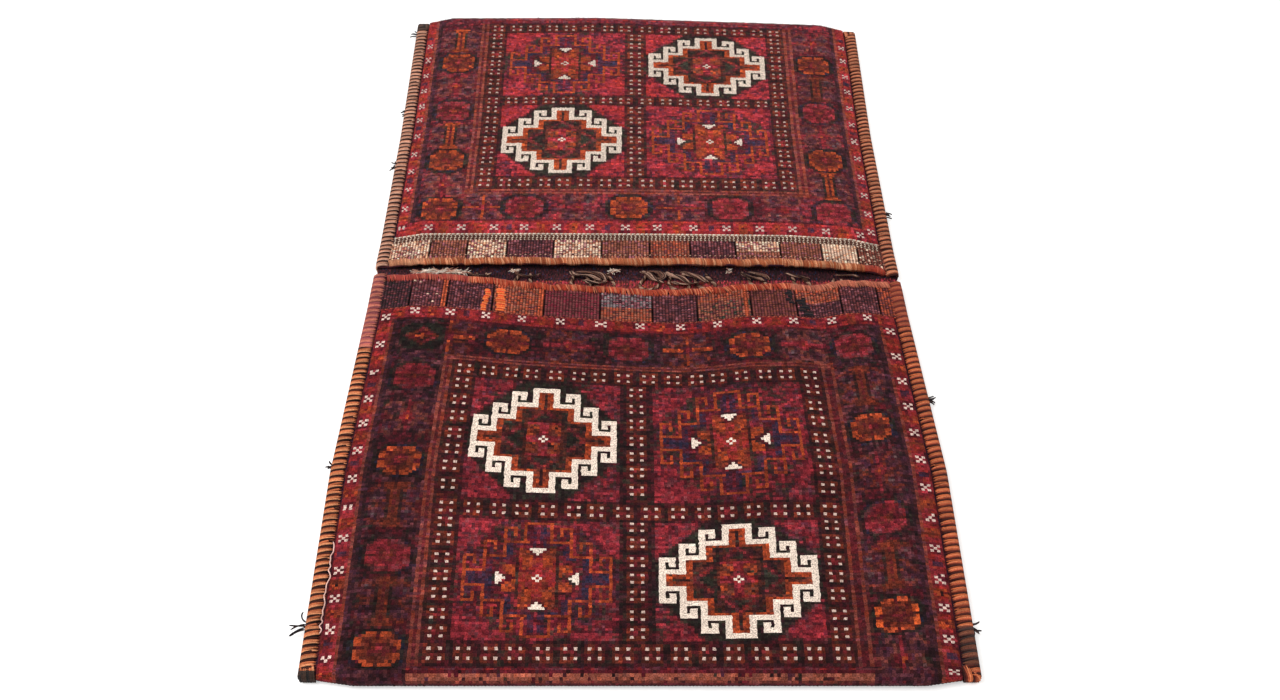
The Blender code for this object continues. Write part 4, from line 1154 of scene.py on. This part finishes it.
def repeat_tree(name):
    """Repeats one turn of yarn along a path, turned with it, at a set pitch and a little uneven."""
    tree = bpy.data.node_groups.new(name, "GeometryNodeTree")
    face = tree.interface
    face.new_socket("Geometry", in_out="INPUT", socket_type="NodeSocketGeometry")
    for label, kind in (("Turn", "Object"), ("Pitch", "Float"), ("Slant", "Float"),
                        ("Unevenness", "Float"), ("Seed", "Int"), ("Yarn", "Material")):
        face.new_socket(label, in_out="INPUT", socket_type="NodeSocket" + kind)
    face.new_socket("Geometry", in_out="OUTPUT", socket_type="NodeSocketGeometry")
    given = add_node(tree, "NodeGroupInput").outputs
    path = add_node(tree, "GeometryNodeMeshToCurve", {}, {"Mesh": given["Geometry"]})
    places = add_node(tree, "GeometryNodeResampleCurve", {}, {"Curve": path.outputs["Curve"],
                                                             "Length": given["Pitch"]}, mode="LENGTH")
    tangent = add_node(tree, "GeometryNodeInputTangent").outputs["Tangent"]
    aligned = add_node(tree, "FunctionNodeAlignRotationToVector", {}, {"Vector": tangent}, axis="Y",
                       pivot_axis="Z")
    low = add_node(tree, "ShaderNodeMath", {1: -1.0}, {0: given["Unevenness"]}, operation="MULTIPLY")
    jitter = add_node(tree, "FunctionNodeRandomValue", {}, {}, data_type="FLOAT")
    tree.links.new(low.outputs["Value"], jitter.inputs[2])
    tree.links.new(given["Unevenness"], jitter.inputs[3])
    tree.links.new(given["Seed"], jitter.inputs["Seed"])
    slant = add_node(tree, "ShaderNodeMath", {}, {0: jitter.outputs[1], 1: given["Slant"]}, operation="ADD")
    turned = add_node(tree, "FunctionNodeRotateRotation", {}, {"Rotation": aligned.outputs["Rotation"]},
                      rotation_space="LOCAL")
    spin = add_node(tree, "ShaderNodeCombineXYZ", {}, {"Z": slant.outputs["Value"]})
    as_rotation = add_node(tree, "FunctionNodeEulerToRotation", {}, {"Euler": spin.outputs["Vector"]})
    tree.links.new(as_rotation.outputs["Rotation"], turned.inputs["Rotate By"])
    size = add_node(tree, "GeometryNodeInputNamedAttribute", {"Name": "height"}, data_type="FLOAT")
    scale = add_node(tree, "ShaderNodeCombineXYZ", {"X": 1.0, "Y": 1.0}, {"Z": size.outputs["Attribute"]})
    turn = add_node(tree, "GeometryNodeObjectInfo", {"As Instance": True}, {"Object": given["Turn"]})
    copies = add_node(tree, "GeometryNodeInstanceOnPoints", {}, {
        "Points": places.outputs["Curve"], "Instance": turn.outputs["Geometry"],
        "Rotation": turned.outputs["Rotation"], "Scale": scale.outputs["Vector"]})
    index = add_node(tree, "GeometryNodeInputIndex")
    numbered = add_node(tree, "GeometryNodeStoreNamedAttribute", {"Name": "turn"},
                        {"Geometry": copies.outputs["Instances"], "Value": index.outputs["Index"]},
                        data_type="FLOAT", domain="INSTANCE")
    real = add_node(tree, "GeometryNodeRealizeInstances", {}, {"Geometry": numbered.outputs["Geometry"]})
    done = add_node(tree, "GeometryNodeSetMaterial", {}, {"Geometry": real.outputs["Geometry"],
                                                          "Material": given["Yarn"]})
    add_node(tree, "NodeGroupOutput", {}, {"Geometry": done.outputs["Geometry"]})
    return tree


REPEAT = repeat_tree("turns_of_yarn")


def wind(name, path, heights, turn, pitch, slant, unevenness, seed, yarn):
    """Turns of yarn along a path, as one plain mesh. Turn is the object that is repeated."""
    path = np.asarray(path, float)
    data = bpy.data.meshes.new(name + "_path")
    data.from_pydata(path.tolist(), [(index, index + 1) for index in range(len(path) - 1)], [])
    layer = data.attributes.new("height", "FLOAT", "POINT")
    layer.data.foreach_set("value", np.asarray(heights, np.float32))
    guide = in_scene(name + "_path", data)
    modifier = guide.modifiers.new("turns", "NODES")
    modifier.node_group = REPEAT
    sockets = {item.name: item.identifier for item in REPEAT.interface.items_tree if item.in_out == "INPUT"}
    for label, value in (("Turn", turn), ("Pitch", pitch), ("Slant", slant), ("Unevenness", unevenness),
                         ("Seed", seed), ("Yarn", yarn)):
        modifier[sockets[label]] = value
    bpy.context.view_layer.update()
    wound = guide.evaluated_get(bpy.context.evaluated_depsgraph_get())
    mesh = bpy.data.meshes.new_from_object(wound)
    mesh.name = name
    bpy.data.objects.remove(guide, do_unlink=True)
    return smooth(in_scene(name, mesh))


def one_turn(name, path, radius):
    """One turn or stitch of yarn, as the part that is repeated: it isn't in the scene itself."""
    points, faces = tube(path, radius, 5)
    made = smooth(new_mesh(name, points, faces))
    bpy.context.scene.collection.objects.unlink(made)
    return made


def overcast(name, path, halves, reach, radius, pitch, slant, yarn, seed):
    """Yarn wound over an edge of cloth that lies on the right of the path, halves thick above it."""
    path, halves = np.asarray(path, float), np.asarray(halves, float) + CLEARANCE + radius
    half = float(np.median(halves))
    profile = ((reach, half - radius * 1.2), (reach * 0.55, half + radius * 0.2), (radius * 0.4, half),
               (-CLEARANCE - radius, half * 0.4), (-CLEARANCE - radius, -half * 0.4), (radius * 0.4, -half),
               (reach * 0.55, -half), (reach, radius * 0.8 - half))
    turn = one_turn(name + "_turn", smooth_path([(x, 0.0, z) for x, z in profile], 13), radius)
    return wind(name, path, halves / half, turn, pitch, slant, unevenness=0.10, seed=seed, yarn=yarn)


def side_seam(name, side, left, yarn, seed):
    """The overcast seam of one pocket, from the mouth down its side and round the fold's corner."""
    x = LEFT_EDGE if left else RIGHT_EDGE
    m = np.linspace(0.0, float(reach_of(side, np.array(x))), 60)
    down = np.full_like(m, x)
    y = mouth_y(side, x) + side * m
    inward = 1.0 if left else -1.0
    round_corner = x + inward * np.linspace(0.0012, SIDE_REACH, 7)
    reach = reach_of(side, round_corner)
    xs = np.concatenate([down, round_corner])
    top = front_under(side, xs, np.concatenate([m, reach])) + FRONT_THICKNESS
    low = back_under(xs)
    y = np.concatenate([y, mouth_y(side, round_corner) + side * (reach + (top - low)[len(m):] / 2)])
    path = laid(xs, y, (top + low) / 2)
    # A path that is wound runs clockwise round the bag, seen from above
    clockwise = 1 if left == (side == FAR) else -1
    return overcast(name, path[::clockwise], ((top - low) / 2)[::clockwise], SIDE_REACH, radius=0.00135,
                    pitch=0.0019, slant=0.16, yarn=yarn, seed=seed)


def slow_noise(count, knots, size):
    """Random numbers that change slowly along a number of places."""
    heights = random.normal(0.0, size, knots + 1)
    return np.interp(np.linspace(0, knots, count), np.arange(knots + 1), heights)


def mouth_lip(name, side, yarn, seed):
    """The overcast lip of one mouth: fine yarn wound close round the cut edge, lumpy and wavy."""
    x = np.linspace(*between_seams(0.001), 260)
    y = mouth_y(side, x) + side * (0.0006 + np.abs(slow_noise(len(x), 48, 0.0016)))
    middle = front_under(side, x, 0.0) + FRONT_THICKNESS / 2 + slow_noise(len(x), 30, 0.0005)
    path = laid(x, y, middle)
    # The lip is padded by an inner cord, so the yarn stands off the cloth
    halves = FRONT_THICKNESS / 2 + MOUTH_YARN - 0.0024 + slow_noise(len(x), 60, 0.0005)
    # The far lip's yarn reaches a little less far over the cloth
    reach = MOUTH_REACH - (0.002 if side == FAR else 0.0)
    return overcast(name, path[::-side], halves, reach, radius=0.0010, pitch=0.0017, slant=0.30,
                    yarn=yarn, seed=seed)


def row_of_stitches(name, side, from_mouth, up, pitch, slant, radius, long, yarn, seed):
    """A row of slanting stitches across a front, at one distance from its mouth edge."""
    x = np.linspace(*between_seams(0.002), 160)
    path = front_surface(side, x, from_mouth, up)
    stitch = one_turn(name + "_stitch", [(0.0, -long / 2, -radius * 0.7), (0.0, -long / 5, radius * 0.2),
                                         (0.0, long / 5, radius * 0.2), (0.0, long / 2, -radius * 0.7)],
                      radius)
    return wind(name, path, np.ones(len(x)), stitch, pitch, slant, unevenness=0.12, seed=seed, yarn=yarn)


def loop_route(x, y, size, lean):
    """The line of a closure loop that starts and ends at the cloth edge y and lies on the bridge."""
    z = BACK_THICKNESS + CLEARANCE + LOOP_DIAMETER / 2
    corners = [(x + SHIFT[0] + size * (off - lean * along), y + SHIFT[1] + size * along, z)
               for off, along in LOOP_OUTLINE]
    return smooth_path(corners, count=48)


def plied(name, route, diameter, strands, lay):
    """Strands of yarn laid round each other along a route, as one mesh."""
    strand = diameter / (2 + 1 / math.sin(math.pi / strands)) * 1.06
    offset = diameter / 2 - strand
    run = run_of(route)
    tangent = unit(np.gradient(route, axis=0))
    beside = unit(np.cross(tangent, (0.0, 0.0, 1.0)))
    above = np.cross(beside, tangent)
    paths = []
    for number in range(strands):
        angle = 2 * math.pi * (run / lay + number / strands)
        paths.append(route + offset * (np.cos(angle)[:, None] * beside + np.sin(angle)[:, None] * above))
    return yarn_mesh(name, paths, strand, sides=6)


def closure_loop(number, x, y, size, lean):
    """A loop of plied brown wool, which stands for its CAD loop."""
    route = loop_route(x, y, size, lean)
    loop = carried(plied("plied_loop_" + number, route, LOOP_DIAMETER, LOOP_PLIES, LOOP_LAY), "loop_yarn",
                   loop_wool, "closure_loop_" + number)


def darned_mend(name, left, right, start, end, lean, ragged):
    """Darning stitches of soft doubled yarn, each arched over the band and sewn in at both ends."""
    count = round((end - start) / 0.0021)
    paths = []
    for number, place in enumerate(np.linspace(start + 0.0012, end - 0.0012, count)):
        # Two yarns lie in each hole, so the stitches come in pairs
        first, last = random.normal(0.0, ragged, 2) if number % 2 == 0 else (first, last)
        sway = lean * (place - start)
        x = np.linspace(left + sway + first, right + sway + last, 7)
        apart = 0.0004 if number % 2 == 0 else -0.0004
        m = place + apart * np.array([1.0, 0.2, -0.6, -1.0, -0.6, 0.2, 1.0])
        up = -0.0008 + 0.0016 * np.array([0.0, 0.7, 1.0, 1.1, 1.0, 0.7, 0.0])
        paths.append(front_surface(NEAR, x, m, up))
    return yarn_mesh(name, paths, radius=0.00125, sides=6)


def strand(start, direction, long, bend, lift):
    """A loose end of yarn: a curved line from a start, in a direction in the XY plane."""
    t = np.linspace(0, 1, 8)
    angle = math.radians(direction) + bend * t
    step = long / 8 * np.stack([np.cos(angle), np.sin(angle), lift * (1 - 2 * t)], axis=1)
    return np.asarray(start) + np.cumsum(step, axis=0)


def loose_ends(name, places):
    """Ends of the seam's dark yarn that stick out sideways. Places are a side, y, direction and length."""
    paths = []
    for left, y, direction, long in places:
        x = float(side_edges(y - SHIFT[1])[0 if left else 1]) + SHIFT[0] + (0.0005 if left else -0.0005)
        for turn in range(6):
            paths.append(strand((x, y + 0.0016 * turn, 0.009), direction=direction + random.normal(0, 18),
                                long=long * random.uniform(0.7, 1.1), bend=random.normal(0, 0.8), lift=0.2))
    return yarn_mesh(name, paths, radius=0.0010)


def wool_fluff(name, place, size, count, fan, long):
    """Loose wool: soft fibres that lie together in a small heap round a place."""
    paths = []
    for _ in range(count):
        start = np.asarray(place) + (random.random(3) - 0.5) * size
        paths.append(strand(start, direction=random.uniform(-fan, fan) + 180 * random.integers(2),
                            long=long * random.uniform(0.6, 1.2), bend=random.normal(0, 0.7),
                            lift=random.uniform(-0.2, 0.25)))
    return yarn_mesh(name, paths, radius=0.0006, sides=4)


def wool_locks(name, lines, thick):
    """Frayed locks of brown wool, each a flat bundle of soft strands that turn round each other."""
    paths = []
    for line in lines:
        route = smooth_path([(x / 1000, y / 1000, LOCK_HEIGHT + rise / 1000) for x, y, rise in line], 26)
        run = np.linspace(0.0, 1.0, len(route))
        swell = thick * (0.45 + 0.55 * np.sin(math.pi * run) ** 0.6)
        for _ in range(LOCK_STRANDS):
            turn = random.uniform(0, 2 * math.pi) + run * random.uniform(2.2, 3.4)
            out = math.sqrt(random.random()) * swell
            wave = np.stack([out * np.cos(turn), out * 0.7 * np.cos(turn + 1.2),
                             out * 0.7 * np.sin(turn)], axis=1)
            first, last = random.integers(0, 5), len(route) - random.integers(0, 6)
            paths.append((route + wave)[first:last])
    return yarn_mesh(name, paths, radius=0.0008)


def floor_and_light():
    """Plain pale floor that is white to the camera, and soft studio light from all round."""
    floor = new_mesh("studio_floor", [(-6, -3, 0), (6, -3, 0), (6, 9, 0), (-6, 9, 0)], [(0, 1, 2, 3)])
    made = bpy.data.materials.new("seamless_white_paper")
    made.use_nodes = True
    tree = made.node_tree
    shader = tree.nodes["Principled BSDF"]
    shader.inputs["Base Color"].default_value = (*linear("#f2f2f2"), 1)
    shader.inputs["Roughness"].default_value = 0.9
    is_camera = add_node(tree, "ShaderNodeLightPath").outputs["Is Camera Ray"]
    tree.links.new(is_camera, shader.inputs["Emission Strength"])
    shader.inputs["Emission Color"].default_value = (0.42, 0.42, 0.42, 1)
    floor.data.materials.append(made)
    world = bpy.data.worlds.new("studio")
    bpy.context.scene.world = world
    world.use_nodes = True
    tree = world.node_tree
    tree.nodes.clear()
    is_camera = add_node(tree, "ShaderNodeLightPath").outputs["Is Camera Ray"]
    soft = add_node(tree, "ShaderNodeBackground", {"Color": (1.0, 0.98, 0.95, 1), "Strength": 0.55})
    white = add_node(tree, "ShaderNodeBackground", {"Color": (1, 1, 1, 1), "Strength": 1.0})
    either = add_node(tree, "ShaderNodeMixShader", {}, {"Fac": is_camera})
    tree.links.new(soft.outputs["Background"], either.inputs[1])
    tree.links.new(white.outputs["Background"], either.inputs[2])
    add_node(tree, "ShaderNodeOutputWorld", {}, {"Surface": either.outputs["Shader"]})
    for name, place, power, size in (("key", (-1.4, -0.9, 2.2), 42.0, 1.4),
                                     ("fill", (1.8, 1.6, 2.4), 26.0, 1.8)):
        lamp = bpy.data.lights.new(name, "AREA")
        lamp.energy = power
        lamp.size = size
        made = in_scene(name, lamp)
        made.location = place
        made.rotation_euler = (-Vector(place)).to_track_quat("-Z", "Y").to_euler()


def studio_camera():
    data = bpy.data.cameras.new("camera")
    data.sensor_fit = "HORIZONTAL"
    data.sensor_width = 36.0
    data.lens = CAMERA_LENS
    made = in_scene("camera", data)
    made.location = CAMERA_PLACE
    made.rotation_euler = (math.radians(90 - CAMERA_DOWN), 0.0, 0.0)
    bpy.context.scene.camera = made


def carried(piece, slot, material=None, *nodes):
    """A finished piece rides on the bag, takes the given material and stands for its CAD nodes. Its slot is
    not used.
    """
    if material:
        piece.data.materials.clear()
        piece.data.materials.append(material)
    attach(piece, "root")
    if nodes:
        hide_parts(*nodes)
    return piece


def on_the_strip(piece, material=None):
    carried(piece, "woven_cloth", material)


bpy.context.scene.view_settings.view_transform = "Standard"
studio_camera()

loop_wool = spun_wool("plied_brown_wool", ("#7c5645", "#46291f", "#a98470"))
for loop in LOOPS:
    closure_loop(*loop)

floor_and_light()
pile_wool = knotted_pile()
weave_wool = flat_weave()
back_wool = plain_back_weave()

strip = carried(foundation("woven_strip"), "woven_cloth", back_wool, "woven_cloth")
for make, name, yarn in ((knotted_front, "knotted_front", pile_wool),
                         (kilim_band, "kilim_band", weave_wool)):
    for pocket, side in (("near_", NEAR), ("far_", FAR)):
        on_the_strip(make(pocket + name, side), yarn)
# The bridge's dark stripes under the far lip carry a painted shadow
bridge_ys = np.linspace(-BRIDGE_HALF, BRIDGE_HALF, 60)
on_the_strip(ribbed_sheet("bridge_weave", bridge_ys, place=BACK_THICKNESS - 0.0002, height=0.0009,
                          flip=False, stripes=BRIDGE_STRIPES_AND_PAINTED_SHADE), weave_wool)
back_ys = np.linspace(-NEAR_LENGTH + TURN_RADIUS, BACK_END, 24)
on_the_strip(ribbed_sheet("back_weave", back_ys, place=INSET - 0.0001, height=-0.0008, flip=True),
             back_wool)

# Twined rows between the far band and its pile, and the light rows beside them
cream_and_dark = spun_wool("twined_cream_and_brown_wool", ("#dcc2ae", "#73493b"))
tan_and_brown = spun_wool("twined_tan_and_brown_wool", ("#cda58c", "#5a3028"))
cream_wool = spun_wool("undyed_cream_wool", ("#f2e6d8", "#e2cbb8", "#c9907c"))
red_and_cream = spun_wool("twined_red_wool", ("#9c3a2c", "#6c2422", "#b8604a"))
for name, side, m, pitch, slant, radius, long, yarn in (
        ("far_dotted_row", FAR, 0.0500, 0.0030, 0.0, 0.0010, 0.0026, cream_and_dark),
        ("far_twined_row_low", FAR, 0.0540, 0.0030, 0.85, 0.0010, 0.0044, cream_and_dark),
        ("far_twined_row_high", FAR, 0.0583, 0.0030, -0.85, 0.0010, 0.0044, cream_and_dark),
        ("far_piping", FAR, 0.0622, 0.0022, 0.5, 0.0012, 0.0040, cream_wool),
        ("far_lip_dots", FAR, 0.0165, 0.0036, 0.5, 0.0008, 0.0030, tan_and_brown),
        ("near_piping", NEAR, KILIM_BAND[NEAR] + 0.0004, 0.0026, 0.5, 0.0010, 0.0036, red_and_cream)):
    on_the_strip(row_of_stitches(name, side, m, 0.0006, pitch, slant, radius, long, yarn, seed=5))

bright_wool = spun_wool("orange_darning_wool", ("#ee6a34", "#f08a50", "#d84a2c", "#f27a3c"))
dark_wool = spun_wool("black_brown_darning_wool", ("#1f1517", "#3a2826", "#191720"))
for mends, slot, yarn in ((BRIGHT_MENDS, "bright_yarn", bright_wool),
                          (DARK_MENDS, "dark_yarn", dark_wool)):
    for node, *sizes in mends:
        carried(darned_mend(node.replace("mend", "darning"), *sizes), slot, yarn, node)

for name, side, wool, shades, stretches, seed in (
        ("far", FAR, "overcast_tan_wool", ("#c9764c", "#a85434", "#dc9a72", "#b8643e", "#c06c48"),
         ((0.325, 0.40, "#a8342a", 0.8), (-0.40, -0.31, "#d09a78", 0.5)), 7),
        ("near", NEAR, "overcast_red_orange_wool", ("#c0502f", "#9c3626", "#d27a58", "#ac402a", "#b84a2e"),
         ((0.215, 0.40, "#c98068", 0.5), (-0.40, -0.24, "#b04a48", 0.5)), 8)):
    lip = mouth_lip(name + "_overcast_lip", side, spun_wool(wool, shades, stretches, axis="X", mixed=True),
                    seed)
    carried(lip, name + "_mouth_yarn", None, name + "_mouth_binding")

for name, side, left, wool, shades, stretches, seed in (
        ("near_left", NEAR, True, "overcast_orange_and_brown_wool",
         ("#e09468", "#d8855a", "#c06a44", "#4a2018", "#2a1611"),
         ((-0.70, -0.629, "#262322", 0.95), (-0.14, 0.03, "#b8626a", 0.5)), 3),
        ("near_right", NEAR, False, "overcast_bright_orange_wool",
         ("#c8683e", "#d07850", "#b8583a", "#64281c", "#3c1612"),
         ((-0.622, -0.572, "#3a302e", 0.7), (-0.10, 0.03, "#8c3c34", 0.5)), 4),
        ("far_left", FAR, True, "overcast_pale_and_brown_wool",
         ("#d8a48c", "#cf967c", "#b87a60", "#3c201c", "#2a1815"), ((0.615, 0.70, "#302a2a", 0.85),), 5),
        ("far_right", FAR, False, "overcast_tan_and_brown_wool",
         ("#cc7c58", "#cc8a6a", "#b05a3a", "#4a2018", "#30150f"), (), 6)):
    seam = side_seam(name + "_overcast_seam", side, left, spun_wool(wool, shades, stretches), seed)
    carried(seam, "side_yarn", None, name + "_binding")

dark_ends = loose_ends("loose_seam_ends", (
    (True, -0.574, 178, 0.023), (True, -0.345, 175, 0.012), (True, 0.245, 180, 0.012),
    (True, 0.380, 170, 0.010), (True, 0.600, 160, 0.014), (False, 0.130, 5, 0.012),
    (False, -0.235, -5, 0.014), (False, -0.575, -10, 0.014)))
carried(dark_ends, "side_yarn", dark_wool)
frayed_wool = spun_wool("frayed_brown_wool", ("#5c3a2e", "#2a1814", "#744e40", "#b8927f", "#3e241c"),
                        axis="X", mixed=True)
for name, place, size, count, fan, long in (
        ("wool_fluff_left", (-0.286, 0.0085, 0.0125), (0.064, 0.004, 0.004), 190, 9, 0.014),
        ("wool_tuft_middle", (-0.178, 0.0105, 0.0125), (0.006, 0.004, 0.004), 34, 40, 0.006),
        ("wool_tuft_right", (-0.036, 0.0105, 0.0125), (0.012, 0.004, 0.004), 44, 30, 0.007),
        ("wool_tuft_last", (0.131, 0.0100, 0.0125), (0.003, 0.005, 0.003), 16, 80, 0.005)):
    carried(wool_fluff(name, place, size, count, fan, long), "loop_yarn", cream_wool)
# Locks: name, thickness, and the lines that they follow as x, y and rise in mm
for name, thick, lines in (
        ("wool_locks_left", 0.0036, (
            ((-246, 13, 0), (-236, 4, 2), (-222, 3, 2), (-212, 10, 0)),
            ((-180, 12, 0), (-166, 3, 2), (-150, 2, 2), (-142, 9, 0)))),
        ("wool_locks_third", 0.0056, (
            ((-98, 14, 0), (-90, 4, 2), (-70, 1, 3), (-52, -6, 1)),
            ((-88, 12, 1), (-72, 8, 4), (-54, 3, 4), (-45, -8, 1)),
            ((-78, -4, 0), (-66, -10, 1), (-52, -11, 1), (-46, -4, 1)))),
        ("wool_locks_middle", 0.0052, (
            ((4, 14, 0), (14, 5, 3), (24, -6, 3), (36, -11, 1)),
            ((12, 11, 2), (28, 8, 4), (36, -2, 4), (26, -10, 2)),
            ((40, 12, 0), (50, 3, 2), (64, -4, 2), (76, -12, 0)),
            ((62, 13, 0), (74, 5, 2), (88, -1, 2), (100, -9, 0)),
            ((48, -8, 0), (60, -13, 1), (78, -13, 1), (90, -8, 0)))),
        ("wool_locks_right", 0.0032, (
            ((148, 12, 0), (156, 2, 2), (168, -3, 2), (180, -6, 0)),
            ((158, 12, 0), (170, 6, 3), (182, 2, 2), (188, -4, 0)),
            ((212, 10, 0), (224, 3, 2), (236, -1, 2), (246, -2, 0)),
            ((284, 6, 0), (296, 4, 1), (310, 4, 1), (318, 1, 0))))):
    carried(wool_locks(name, lines, thick), "loop_yarn", frayed_wool)

# A pale thread has pulled out along the near pocket's left seam
x = LEFT_EDGE + SIDE_REACH + 0.0006 + random.normal(0.0, 0.0009, 26)
thread = front_surface(NEAR, x, np.linspace(0.455, 0.580, 26), 0.0052)
carried(yarn_mesh("pulled_pale_thread", [smooth_path(thread, 90)], radius=0.0008), "side_yarn",
        spun_wool("pale_pink_thread", ("#ecc0b4", "#e0a89c")))
